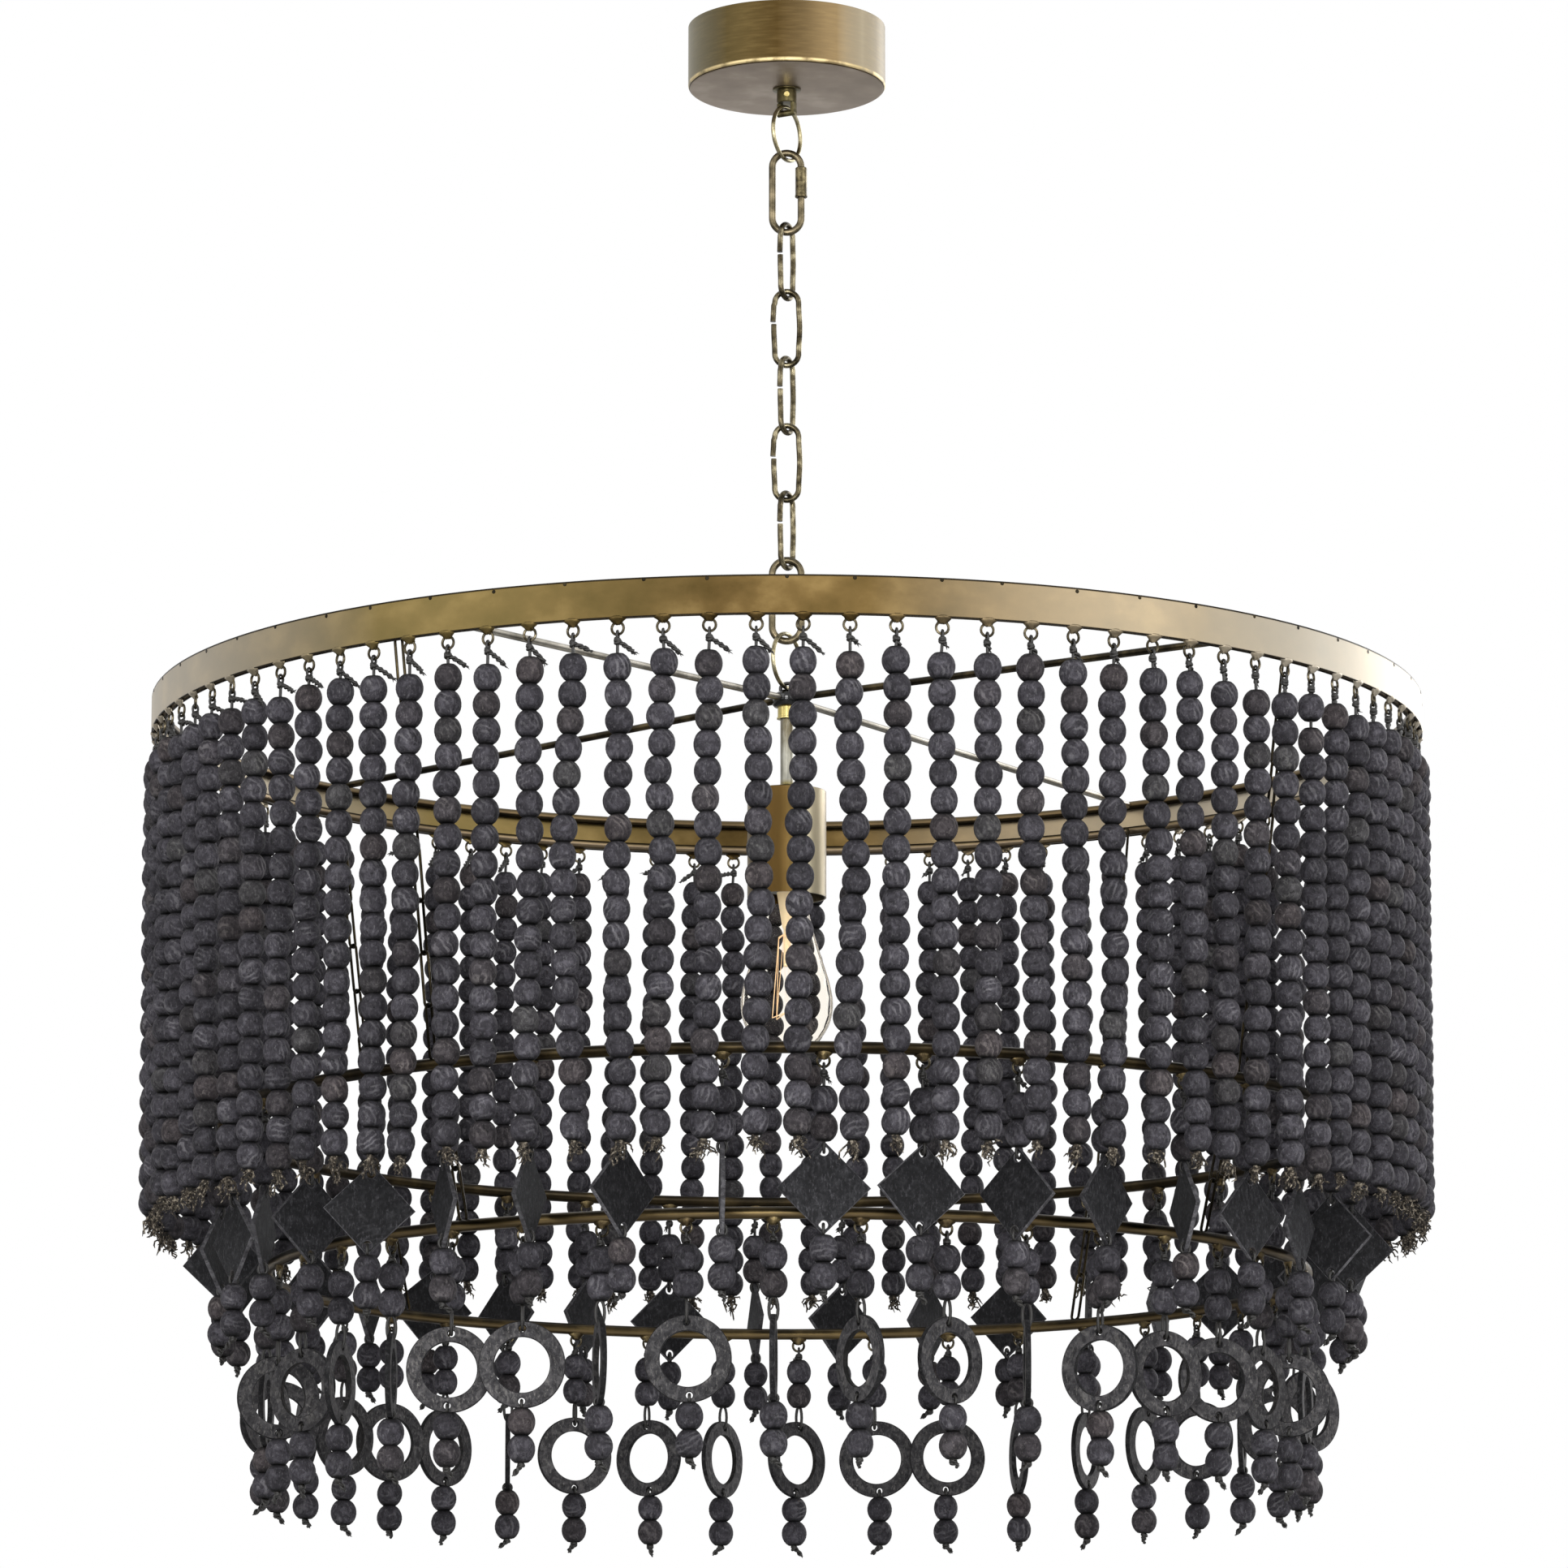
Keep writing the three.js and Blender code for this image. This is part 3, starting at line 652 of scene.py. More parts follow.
def metal(name, tones, roughness, scale, stretch=(1, 1, 1), bump=0.1, detail=5):
    """A metal whose colour wanders between three tones."""
    paint = Paint(name)
    paint.set(Metallic=1, Roughness=roughness)
    value = paint.noise(scale, detail, stretch=stretch)
    dark, middle, light = tones
    paint.colour(paint.ramp(value, [(0.3, dark), (0.5, middle), (0.7, light)]))
    paint.bump(value, bump, MILLIMETRE)
    return paint


def wood(name, tones, pale, specks, ringed_share):
    """Stained wood: each piece has its own tone, with clouds, growth rings and fine grain, and painted shade
    where its shade attribute is set.
    """
    paint = Paint(name)
    own = paint.island(3)
    paint.set(Roughness=0.75, Specular_IOR_Level=0.16)
    dark, middle, light = tones
    clouds = paint.noise(170, 5, 0.66, distortion=0.8)
    base = paint.ramp(clouds, [(0.3, dark), (0.5, middle), (0.7, light)])
    rings = paint.rings(90, 6)
    patches = paint.ranged(paint.noise(75, 2), 0.5, 0.7, 0, ringed_share)
    lines = paint.scaled(paint.ramp(rings, [(0.5, 0x000000), (0.95, 0xffffff)]), patches)
    ringed = paint.mixed(lines, base, pale)
    fine = paint.noise(700, 5, 0.75, stretch=(1, 1, 0.4))
    wear_and_broken_highlight = paint.ranged(fine, 0.54, 0.78, 0, specks)
    grained = paint.mixed(wear_and_broken_highlight, ringed, pale)
    pits = paint.ranged(paint.noise(330, 3, 0.7), 0.3, 0.4, 0.75, 0)
    pitted = paint.mixed(pits, grained, 0x151416)
    tint = paint.ramp(own, [(0.8, 0xffffff), (0.86, 0xfff4e8), (0.93, 0xfffaf2), (0.98, 0xfafcf0)])
    tinted = paint.mixed(1.0, pitted, tint, "MULTIPLY")
    # Painted shade at the two ends of each bead, where beads touch.
    shade = paint.node("ShaderNodeAttribute", attribute_name="shade").outputs["Fac"]
    shaded = paint.mixed(shade, tinted, 0x060606)
    tone = paint.ranged(paint.shuffled(own, 17), 0, 1, 0.7, 1.25)
    paint.colour(paint.scaled(shaded, tone))
    paint.bump(fine, 0.4, woodRelief * MILLIMETRE)
    return paint


def band_paint(name, edge_shaded):
    """Mottled brown gold with painted reflections that make it paler and greyer towards both sides; the
    strip can have two painted shade lines along its edges.
    """
    paint = metal(name, (0x34290f, 0x64502f, 0x957d51), 0.45, 26, (1, 1, 1.4), 0.15, 6)
    # Painted reflections: paler and greyer tones towards both sides.
    paint.across(bandRadius, [
        (0.05, 0xb4ac9c), (0.2, 0x786a42), (0.45, 0x3a2e18), (0.56, 0x564628),
        (0.8, 0xa89c86), (0.9, 0xd8d0c0), (1, 0xb4ac9c),
    ], 0.7)
    if edge_shaded:
        # Painted shade: dark lines along the top and the bottom edge of the strip.
        top_shade_line = paint.mixed(paint.below(bandTop - bandShadeLine, bandBevel), 0x1f1a12, paint.base)
        paint.colour(paint.mixed(paint.below(bandBottom + bandShadeLine / 2, bandBevel), top_shade_line, 0x241d13))
    return paint


def canopy_paint():
    """Brushed antique brass with painted reflections, dark left of the middle and pale to the right; a
    painted highlight on the rolled lower edge with a painted shade line under it; taupe below.
    """
    low = levels("canopy_cup")[0]
    paint = metal("antique brass", (0x45381f, 0x5c4b2d, 0x77643f), 0.44, 60, (1, 1, 9), 0.08)
    # Painted reflections: tones that go from dark left of the middle to pale towards the right side.
    paint.across(canopyDiameter / 2, [
        (0, 0x807c68), (0.2, 0x50452a), (0.45, 0x3a2c14), (0.75, 0x78664a), (0.88, 0xb4a890),
        (0.95, 0x6c6452),
    ], 0.75)
    # Painted highlight along the rolled lower edge, broken by noise, with a painted shade line under it.
    wear_and_broken_highlight = paint.ranged(paint.noise(75, 3), 0.4, 0.55, 0.2, 0.95)
    lip_highlight = paint.mixed(paint.scaled(paint.below(low + canopyLip, highlightFade), wear_and_broken_highlight), paint.base, 0xc8b486)
    shade_line = paint.mixed(paint.below(low + canopyLip / 4, shadeLineFade), lip_highlight, 0x3f3018)
    smudges = paint.ramp(paint.noise(30, 3), [(0.35, 0x988a7a), (0.55, 0xa69787), (0.7, 0xb8ab9c)])
    paint.colour(paint.mixed(paint.below(low + canopyLip / 10, undersideFade), shade_line, smudges))
    return paint


def socket_paint():
    """Brass tube with painted reflections: warm brown left of the middle and pale at its right side."""
    paint = metal("socket brass", (0x5a4524, 0x7b6136, 0x957b4a), 0.34, 34, (1, 1, 0.25))
    # Painted reflections: tones that go from warm brown left of the middle to pale at the right side.
    paint.across(socketDiameter / 2, [
        (0, 0x6d6450), (0.12, 0x554c30), (0.3, 0x4c3a1e), (0.48, 0x45361c), (0.62, 0x6c5c38),
        (0.78, 0xb5ad95), (0.92, 0xaaa28c), (1, 0x857c68),
    ], 0.8)
    return paint


def stem_paint():
    """Pitted stem, dark gold at its top and silver grey below."""
    low, high = levels("stem")
    paint = metal("aged stem", (0x1a170f, 0x787466, 0xa3a198), 0.38, 190, (1, 1, 0.4), 0.3)
    stops = [(0.1, 0x7a6f3e), (0.16, 0x8f8e86), (0.5, 0x8a897e), (0.85, 0x4b4023)]
    paint.upwards(low, high, stops, 0.6)
    return paint


def rod_paint(name, middle, diameter, stops):
    """A level rod with worn patches, and painted reflections and shade that change from its lower to its
    upper side.
    """
    paint = metal(name, (0x1d1910, 0x4a3e28, 0x7c6a45), 0.36, 38, bump=0.2)
    paint.upwards(middle - diameter / 2, middle + diameter / 2, stops, 0.72)
    return paint


def glass_paint():
    """Thin glass: hardly any refraction, and brown edge lines where the wall is seen along itself."""
    paint = Paint("clear glass")
    paint.set(Roughness=0.02, IOR=1.06, Transmission_Weight=1)
    facing = paint.node("ShaderNodeLayerWeight").outputs["Facing"]
    paint.colour(paint.ramp(facing, [(0.7, 0xfffcf6), (0.84, 0xe6d5ba), (0.95, 0xa48e6e)]))
    return paint


# Painted glow: a little emission that brightens the filament and the glass mount, which are no lamps.
def glow_paint(name, colour, strength):
    paint = Paint(name)
    paint.set(Base_Color=linear(colour), Roughness=0.4)
    paint.set(Emission_Color=linear(colour), Emission_Strength=strength)
    return paint


def plain(name, colour, roughness, metallic=0):
    paint = Paint(name)
    paint.set(Metallic=metallic, Roughness=roughness)
    dark = tuple(channel * 0.8 for channel in linear(colour)[:3])
    paint.colour(paint.mixed(paint.noise(90), (*dark, 1), colour))
    return paint


def fibre(name, tones):
    """Frayed cord: fibres from dark to pale."""
    paint = Paint(name)
    paint.set(Roughness=0.9)
    dark, middle, light = tones
    paint.colour(paint.ramp(paint.noise(420, 3), [(0.4, dark), (0.53, middle), (0.7, light)]))
    return paint


# Painted reflections and shade of the hoops and lower rings, from the lower to the upper side of each rod:
# pale and gold bands, thin highlight lines and dark bands.
hoopLowPaintedLight = [
    (0, 0x1c1812), (0.15, 0x6b5d4a), (0.4, 0x857663), (0.65, 0x75654c), (0.78, 0x1c1812), (1, 0x15130f),
]
hoopTopPaintedLight = [(0, 0x15130f), (0.3, 0x1c1812), (0.42, 0x5a4b36), (0.8, 0x6b5c42), (1, 0x2a2319)]
ringTwoPaintedLight = [(0, 0x14120e), (0.45, 0x1c1812), (0.62, 0x38332a), (0.74, 0x191611), (1, 0x0f0e0c)]
ringThreePaintedLight = [
    (0, 0x241d12), (0.12, 0x4d4029), (0.3, 0x75654a), (0.45, 0x55482f), (0.55, 0x1a1610),
    (0.74, 0x191611), (0.8, 0x3e3a33), (0.86, 0x191611), (1, 0x15130f),
]


paints = {
    "zinc": metal("zinc", (0x9a9c9f, 0xb4b6b8, 0xc8cacc), 0.4, 120),
    "antique_brass": canopy_paint(),
    "socket_brass": socket_paint(),
    "pale_brass": metal("pale brass", (0x8d7d48, 0xb3a56c, 0xd2c794), 0.28, 90),
    "aged_bronze": metal("aged bronze", (0x3a3322, 0x5f573b, 0x7d7554), 0.38, 110),
    "stem_metal": stem_paint(),
    "chain_metal": metal("chain metal", (0x17140d, 0x4d4635, 0x938a70), 0.26, 130),
    "ring_metal": metal("ring metal", (0x4a4432, 0x8c8366, 0xbcb497), 0.26, 130),
    "quick_link_metal": metal("quick link metal", (0x352f23, 0x5a5240, 0x82765e), 0.34, 120),
    "nut_metal": metal("nut metal", (0x2f2a1e, 0x5f563f, 0x857a5c), 0.36, 260),
    "black_metal": plain("black metal", 0x0b0b0b, 0.12),
    "band_brass": band_paint("band brass", True),
    "band_weld": band_paint("band weld", False),
    "silver_spoke": metal("silver spoke", (0x5f5b50, 0x9a958a, 0xc0bbb0), 0.3, 40),
    "dark_spoke": metal("dark spoke", (0x15130e, 0x2b261c, 0x5a4f38), 0.34, 45, bump=0.2),
    "hoop_top": rod_paint("top hoop", bandTop - hoopWire / 2, hoopWire, hoopTopPaintedLight),
    "hoop_low": rod_paint("lower hoop", bandBottom + hoopWire / 2, hoopWire, hoopLowPaintedLight),
    "ring_two": rod_paint("second ring", ringTwoHeight, ringRod, ringTwoPaintedLight),
    "ring_three": rod_paint("third ring", ringThreeHeight, ringRod, ringThreePaintedLight),
    "dark_bronze": metal("dark bronze", (0x12100c, 0x231f17, 0x3c3422), 0.36, 45, bump=0.2),
    "rod_weld": metal("rod weld", (0x29221a, 0x4f4430, 0x766849), 0.42, 200, bump=0.5),
    "eyelet_metal": metal("eyelet metal", (0x1c1912, 0x423c2f, 0x786f5b), 0.34, 200),
    "bead": wood("charcoal wood", (0x222124, 0x37353a, 0x525056), 0x8f8d91, 0.55, 0.35),
    "slate": wood("slate wood", (0x121213, 0x1c1c1e, 0x313133), 0x77757a, 0.5, 0.1),
    # Painted highlight: the plates' edges and hole walls get a paler copy of the slate wood.
    "slate_lit_edge": wood("slate lit edge", (0x2b2a2c, 0x474649, 0x6a696c), 0x9a999c, 0.5, 0.1),
    "washer": wood("washer wood", (0x232224, 0x3c3b3d, 0x5e5c5d), 0x96938f, 0.8, 0.25),
    # Painted shade: the washers' edges and bore walls get a darker copy of the washer wood.
    "washer_shaded_edge": wood("washer shaded edge", (0x0a0a0b, 0x171718, 0x343334), 0x77757a, 0.35, 0.1),
    "cord": plain("waxed cord", 0x1a1815, 0.5),
    "pale_cord": fibre("frayed cord", (0x15120e, 0x40382e, 0xa79d8c)),
    "phenolic": plain("phenolic", 0x141414, 0.4),
    "clear_glass": glass_paint(),
    "filament": glow_paint("filament", 0xf4d2a6, 0.25),
    "mount": glow_paint("glass mount", 0xf2dcb4, 0.2),
}


def placed(name, data):
    """A new object in the scene."""
    obj = bpy.data.objects.new(name, data)
    bpy.context.scene.collection.objects.link(obj)
    return obj


def build(name, shape, paint, body, nodes, crease=35, shades=None):
    """A mesh object of a shape, riding on a body and standing for the nodes."""
    points, quads, corners = shape
    mesh = bpy.data.meshes.new(name)
    mesh.vertices.add(len(points))
    mesh.vertices.foreach_set("co", (points * MILLIMETRE).ravel())
    loops = np.concatenate([quads.ravel(), corners.ravel()])
    mesh.loops.add(len(loops))
    mesh.loops.foreach_set("vertex_index", loops)
    starts = np.concatenate([np.arange(len(quads)) * 4, quads.size + np.arange(len(corners)) * 3])
    mesh.polygons.add(len(starts))
    mesh.polygons.foreach_set("loop_start", starts)
    mesh.update(calc_edges=True)
    mesh.shade_smooth()
    mesh.set_sharp_from_angle(angle=math.radians(crease))
    mesh.materials.append(paints[paint].material)
    if shades is not None:
        mesh.attributes.new("shade", "FLOAT", "POINT").data.foreach_set("value", shades)
    obj = placed(name.replace(" ", "_"), mesh)
    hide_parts(*nodes)
    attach(obj, body)


# Canopy, collar and set screw

def canopy():
    low, high = levels("canopy_cup")
    outer = canopyDiameter / 2
    hole = canopyHole / 2
    edge = canopyEdgeRadius
    rounded = quarter(outer - edge, low + edge, edge, -edge)
    profile = [
        (hole, low), *reversed(rounded), (outer, high), (outer - canopyWall, high),
        (outer - canopyWall, low + canopyWall), (hole, low + canopyWall), (hole, low),
    ]
    build("canopy", lathe(profile, latheSides), "antique_brass", "canopy", ["canopy_cup"], 50)


def collar():
    top = levels("canopy_loop")[1]
    radius = collarDiameter / 2
    flange = flangeDiameter / 2
    bore = collarBore / 2
    low = top - collarHeight
    body = lathe([
        (0, low), (radius - collarBevel, low), (radius, low + collarBevel),
        (radius, top - flangeHeight - collarBevel), (flange, top - flangeHeight), (flange, top),
        (bore, top), (bore, top - collarBoreDepth), (0, top - collarBoreDepth),
    ], smallSides)
    legs = []
    reach = (collarDiameter - stirrupLegThickness) / 2
    height = low - levels("canopy_loop")[0] - stirrupBarDiameter / 2
    for side in (-reach, reach):
        middle = (side, 0, low - height / 2)
        legs.append(block(stirrupLegThickness, stirrupLegDepth, height, stirrupBevel, middle))
    bar_level = levels("canopy_loop")[0] + stirrupBarDiameter / 2
    bar = tube([(-radius, 0, bar_level), (radius, 0, bar_level)], stirrupBarDiameter / 2, wireSides)
    hanger = at_azimuth(joined([*legs, bar]), stirrupYaw)
    build("collar", joined([body, hanger]), "aged_bronze", "canopy", ["canopy_loop"])
    low_screw, high_screw = levels("loop_set_screw")
    screw = cylinder(screwDiameter, -screwHeight, 0, smallSides, screwBevel)
    face = turned_about((1, 0, 0), math.pi / 2)
    middle = (0, -radius - screwStand, (low_screw + high_screw) / 2)
    build("set screw", moved(screw, middle, face), "pale_brass", "canopy", ["loop_set_screw"])


# Chain

def round_ring(node):
    low, high = levels(node)
    radius = (high - low - ringWire) / 2
    path = arc(radius, radius, 0, 2 * math.pi, hoopSides * 4 + 1)[:-1] + np.array((0, 0, (low + high) / 2))
    shape = at_azimuth(tube(path, ringWire / 2, wireSides, True), ringYaw)
    build(node.replace("_", " "), shape, "ring_metal", node, [node])


def quick_link(node, nut, nut_body):
    low, high = levels(node)
    half = (quickLinkWidth - quickLinkWire) / 2
    top, bottom = stadium(high - low - quickLinkWire, quickLinkWidth - quickLinkWire, arcSteps)
    middle = np.array((0, 0, (low + high) / 2))
    gap_top = high - quickLinkWidth / 2 - quickLinkGapInset
    ends = [(half, 0, gap_top), (half, 0, gap_top - quickLinkGap)]
    path = np.vstack([[ends[0]], top + middle, bottom + middle, [ends[1]]])
    build(node.replace("_", " "), tube(path, quickLinkWire / 2, wireSides), "quick_link_metal", node, [node])
    nut_low, nut_high = levels(nut)
    bore = nutBore / 2
    body = nutBody / 2
    flange = nutFlange / 2
    profile = [
        (bore, nut_low), (flange - nutBevel, nut_low), (flange, nut_low + nutBevel),
        (flange, nut_low + nutFlangeHeight), (body, nut_low + nutFlangeHeight + nutBevel),
        (body, nut_high - nutBevel), (body - nutBevel, nut_high), (bore, nut_high), (bore, nut_low),
    ]
    shape = moved(lathe(profile, smallSides), (half, 0, 0))
    build(nut.replace("_", " "), shape, "nut_metal", nut_body, [nut])


def chain_link(number):
    node = f"chain_link_{number}"
    low, high = levels(node)
    half = (linkWidth - linkWire) / 2
    top, bottom = stadium(high - low - linkWire, linkWidth - linkWire, arcSteps)
    middle = (low + high) / 2
    reach = (high - low - linkWidth) / 2
    spots = np.linspace(-reach, reach, arcSteps)[1:-1]
    bow = half + linkBow * np.cos(spots / reach * math.pi / 2) ** 2
    right = np.stack([bow, 0 * spots, spots], 1)
    left = right * (-1, 1, -1)
    upper = left[left[:, 2] > linkWire + linkGap / 2] - (linkOffset, 0, 0)
    lower = left[left[:, 2] < linkWire - linkGap / 2]
    path = np.vstack([lower, bottom, right, top, upper]) + (0, 0, middle)
    yaw = ringYaw if number % 2 else 0
    shape = at_azimuth(tube(path, linkWire / 2, wireSides), yaw)
    build(node.replace("_", " "), shape, "chain_metal", node, [node])


# Hub, stem and socket tube

def hub_and_stem():
    disc_low = levels("stem_collar")[1] + spokeGap
    radius = hubDiameter / 2
    disc_high = disc_low + hubHeight
    rounded = quarter(radius - hubRim, disc_high - hubRim, hubRim, hubRim)
    skirt = disc_low - hubSkirt
    inner = collarDiameter / 2 + hubClearance
    disc = lathe([
        (0, disc_low), (inner, disc_low), (inner, skirt), (radius - hubRim / 2, skirt),
        (radius, skirt + hubRim / 2), *rounded, (radius / 2, disc_high + hubCrown),
        (0, disc_high + hubCrown),
    ], smallSides)
    half = eyeWidth / 2
    foot = disc_high - hubRim
    over = arc(half, eyeRise, 0, math.pi, arcSteps, (0, 0, eyeTop - eyeRise))
    path = np.vstack([[(half, 0, foot)], over, [(-half, 0, foot)]])
    eye = at_azimuth(tube(path, eyeWire / 2, wireSides), stirrupYaw)
    build("hub", joined([disc, eye]), "black_metal", "frame", ["hub"], 50)
    low, high = levels("stem_collar")
    body = collarBodyDiameter / 2
    flange = collarDiameter / 2
    step = collarLipHeight / 2
    shape = lathe([
        (0, low), (flange, low), (flange, low + collarLipHeight), (body, low + collarLipHeight + step),
        (body, high - collarFlangeHeight - step), (flange, high - collarFlangeHeight),
        (flange, high), (0, high),
    ], smallSides)
    build("stem collar", shape, "pale_brass", "frame", ["stem_collar"])
    low, high = levels("stem")
    radius = stemDiameter / 2
    dome = quarter(radius, low, stemFootDiameter / 2 - radius, stemFootHeight)
    shape = lathe([(0, low), *dome, (radius, high), (0, high)], smallSides)
    build("stem", shape, "stem_metal", "frame", ["stem"])
    low, high = levels("socket_tube")
    outer = socketDiameter / 2
    inner = outer - socketWall
    shape = lathe([
        (0, high - socketWall), (inner, high - socketWall), (inner, low), (outer, low),
        (outer, high - socketRim), (outer - socketRim, high), (0, high),
    ], latheSides)
    build("socket tube", shape, "socket_brass", "frame", ["socket_tube"])


# Bulb

def smooth_profile(pairs, steps):
    """A smooth curve through radius and height pairs."""
    pairs = np.array(pairs, float)
    spots = np.concatenate([[0], np.cumsum(np.linalg.norm(np.diff(pairs, axis=0), axis=1))])
    slopes = np.gradient(pairs, spots, axis=0)
    slopes[0] = (0, slopes[0][1])
    slopes[-1] = (slopes[-1][0], 0)
    curve = []
    for spot in np.linspace(0, spots[-1], steps):
        i = min(np.searchsorted(spots, spot, "right") - 1, len(spots) - 2)
        span = spots[i + 1] - spots[i]
        t = (spot - spots[i]) / span
        rise = 3 * t * t - 2 * t ** 3
        start, end = (t ** 3 - 2 * t * t + t) * span, (t ** 3 - t * t) * span
        curve.append((1 - rise) * pairs[i] + rise * pairs[i + 1] + start * slopes[i] + end * slopes[i + 1])
    curve[-1] = pairs[-1]
    return curve


def bulb():
    low, high = levels("bulb_glass")
    height = high - low
    outline = [(share * bulbRadius, high - down * height) for share, down in glassShares]
    outer = smooth_profile(outline, glassSteps)
    inner = []
    for radius, level in outer:
        if radius > 2 * glassWall:
            lift = glassWall if level < high - glassWall else 0
            inner.append((radius - glassWall, level + lift))
    glass = lathe([*reversed(outer), *inner, (0, low + glassWall)], latheSides)
    build("bulb glass", glass, "clear_glass", "bulb", ["bulb_glass"], 80)
    neck_top = levels("filament")[1]
    mount = lathe([
        (0, neck_top - mountRodHeight), (mountRodRadius, neck_top - mountRodHeight),
        (mountRodRadius, neck_top - mountHeight), (mountNeckRadius, neck_top - mountHeight + mountFlare),
        (mountTopRadius, neck_top), (0, neck_top),
    ], wireSides)
    build("glass mount", mount, "mount", "bulb", ["filament"], 60)
    zigzag = []
    for i in range(2 * filamentLegs):
        angle = math.pi * i / filamentLegs
        radius, level = (filamentTopRadius, filamentTop) if i % 2 else (filamentLowRadius, filamentLow)
        zigzag.append((radius * math.cos(angle), radius * math.sin(angle), level))
    supports = [tube(zigzag, filamentWire, hairSides, True)]
    for x, y, level in zigzag:
        supports.append(tube([(0, 0, level + supportRise), (x, y, level)], supportWire, hairSides))
    build("filament", joined(supports), "filament", "bulb", ["filament"], 60)


# Band, hoops and spokes

def hoop(radius, wire, height):
    return tube(circle(radius, hoopSteps, height), wire / 2, hoopSides, True)


def band():
    inner = bandRadius - bandWall
    edge = bandBevel
    shape = lathe([
        (inner + edge, bandBottom), (bandRadius - edge, bandBottom), (bandRadius, bandBottom + edge),
        (bandRadius, bandTop - edge), (bandRadius - edge, bandTop), (inner + edge, bandTop),
        (inner, bandTop - edge), (inner, bandBottom + edge), (inner + edge, bandBottom),
    ], hoopSteps)
    build("band", shape, "band_brass", "frame", ["band_strip"])
    upper = hoop(hoopRadius, hoopWire, bandTop - hoopWire / 2)
    build("upper hoop", upper, "hoop_top", "frame", ["top_hoop"])
    lower = hoop(hoopRadius, hoopWire, bandBottom + hoopWire / 2)
    build("lower hoop", lower, "hoop_low", "frame", rail_nodes())
    hub_high = levels("stem_collar")[1] + spokeGap + hubHeight
    for number, azimuth in enumerate(spokeAzimuths, 1):
        start = (0, -hubDiameter / 2 - spokeGap, hub_high - spokeWire / 2 - spokeHubInset)
        end = (0, hoopWire / 2 + spokeGap - hoopRadius, bandTop - hoopWire / 2)
        rod = at_azimuth(tube([start, end], spokeWire / 2, wireSides), azimuth)
        paint = "silver_spoke" if number % 2 else "dark_spoke"
        build(f"spoke {number}", rod, paint, "frame", [f"spoke_{number}"])


def band_notches():
    """Small dark marks under the top edge of the band."""
    disc = cylinder(notchDiameter, -notchDepth, notchDepth / 2, wireSides, notchDepth / 2)
    facing = moved(disc, turn=turned_about((1, 0, 0), math.pi / 2))
    marks = []
    for i in range(bandNotches):
        height = bandTop - notchDiameter / 2 - chance.uniform(0, notchInset)
        azimuth = 2 * math.pi * (i + chance.uniform(-notchScatter, notchScatter)) / bandNotches
        marks.append(at_azimuth(moved(facing, (0, -bandRadius, height)), azimuth))
    build("band notches", joined(marks), "dark_bronze", "frame", ["band_strip"])


def rail_nodes():
    return [f"strand_rail_{i + 1}" for i in range(tierOneArcs)]


def arc_nodes(ring, arcs):
    return [f"ring_{ring}_arc_{i + 1}" for i in range(arcs)]


def lower_rings():
    for ring, radius, height, arcs in (
        (2, ringTwoRadius, ringTwoHeight, tierTwoArcs), (3, ringThreeRadius, ringThreeHeight, tierThreeArcs),
    ):
        paint = "ring_two" if ring == 2 else "ring_three"
        build(f"ring {ring}", hoop(radius, ringRod, height), paint, "frame", arc_nodes(ring, arcs))


# Hanger chains

def hanger_chain(start, end):
    """Long links from start to end, both in the plane of X and Z with X outward."""
    start, end = np.array(start, float), np.array(end, float)
    span = np.linalg.norm(end - start)
    pitch = hangerLinkLength - 2 * hangerWire
    count = max(1, round(span / pitch))
    pitch = span / count
    top, bottom = stadium(pitch + hangerWire, hangerLinkWidth - hangerWire, hangerArcSteps)
    link = tube(np.vstack([top, bottom]), hangerWire / 2, hangerSides, True)
    tilt = math.atan2(start[0] - end[0], start[2] - end[2])
    links = []
    for i in range(count):
        twisted = at_azimuth(link, math.pi / 2 * (i % 2 == 0))
        middle = start + (end - start) * (i + 1 / 2) / count
        links.append(moved(twisted, middle, turned_about((0, 1, 0), tilt)))
    return joined(links)


def hangers():
    for number, azimuth in enumerate(spokeAzimuths, 1):
        spans = (
            ("upper", (hoopRadius - hangerInset, 0, bandBottom + hoopWire / 2),
             (ringTwoRadius, 0, ringTwoHeight + ringRod / 2)),
            ("lower", (ringTwoRadius - hangerInset, 0, ringTwoHeight),
             (ringThreeRadius, 0, ringThreeHeight + ringRod / 2)),
        )
        for name, start, end in spans:
            shape = at_azimuth(hanger_chain(start, end), azimuth - math.pi / 2)
            build(f"{name} hanger {number}", shape, "dark_bronze", "frame", [f"{name}_hanger_{number}"])


# Eyelets and weld tabs

def weld_tab(thickness, rise, shift):
    """A lump of weld that narrows downwards from level 0 and leans inwards by a shift."""
    points, quads, corners = [], [], []
    count = smallSides // 2
    angles = 2 * np.pi * np.arange(count) / count
    for step, share in tabSteps:
        level = step * (rise if step > 0 else tabHeight)
        depth = thickness / 2 * (1 - tabRoundness + tabRoundness * share)
        for angle in angles:
            push = chance.normal(0, weldWander)
            x = (tabWidth / 2 * share + push) * math.cos(angle)
            y = depth * math.sin(angle) + shift * max(-step, 0)
            points.append((x, y, level + push / 2 * (step <= 0)))
    for i in range(len(tabSteps) - 1):
        for j in range(count):
            k = (j + 1) % count
            quads.append((i * count + j, (i + 1) * count + j, (i + 1) * count + k, i * count + k))
    points += [(0, 0, rise), (0, shift, -tabHeight)]
    last = (len(tabSteps) - 1) * count
    for j in range(count):
        k = (j + 1) % count
        corners.append((len(points) - 2, j, k))
        corners.append((len(points) - 1, last + k, last + j))
    return shape_of(points, quads, corners)


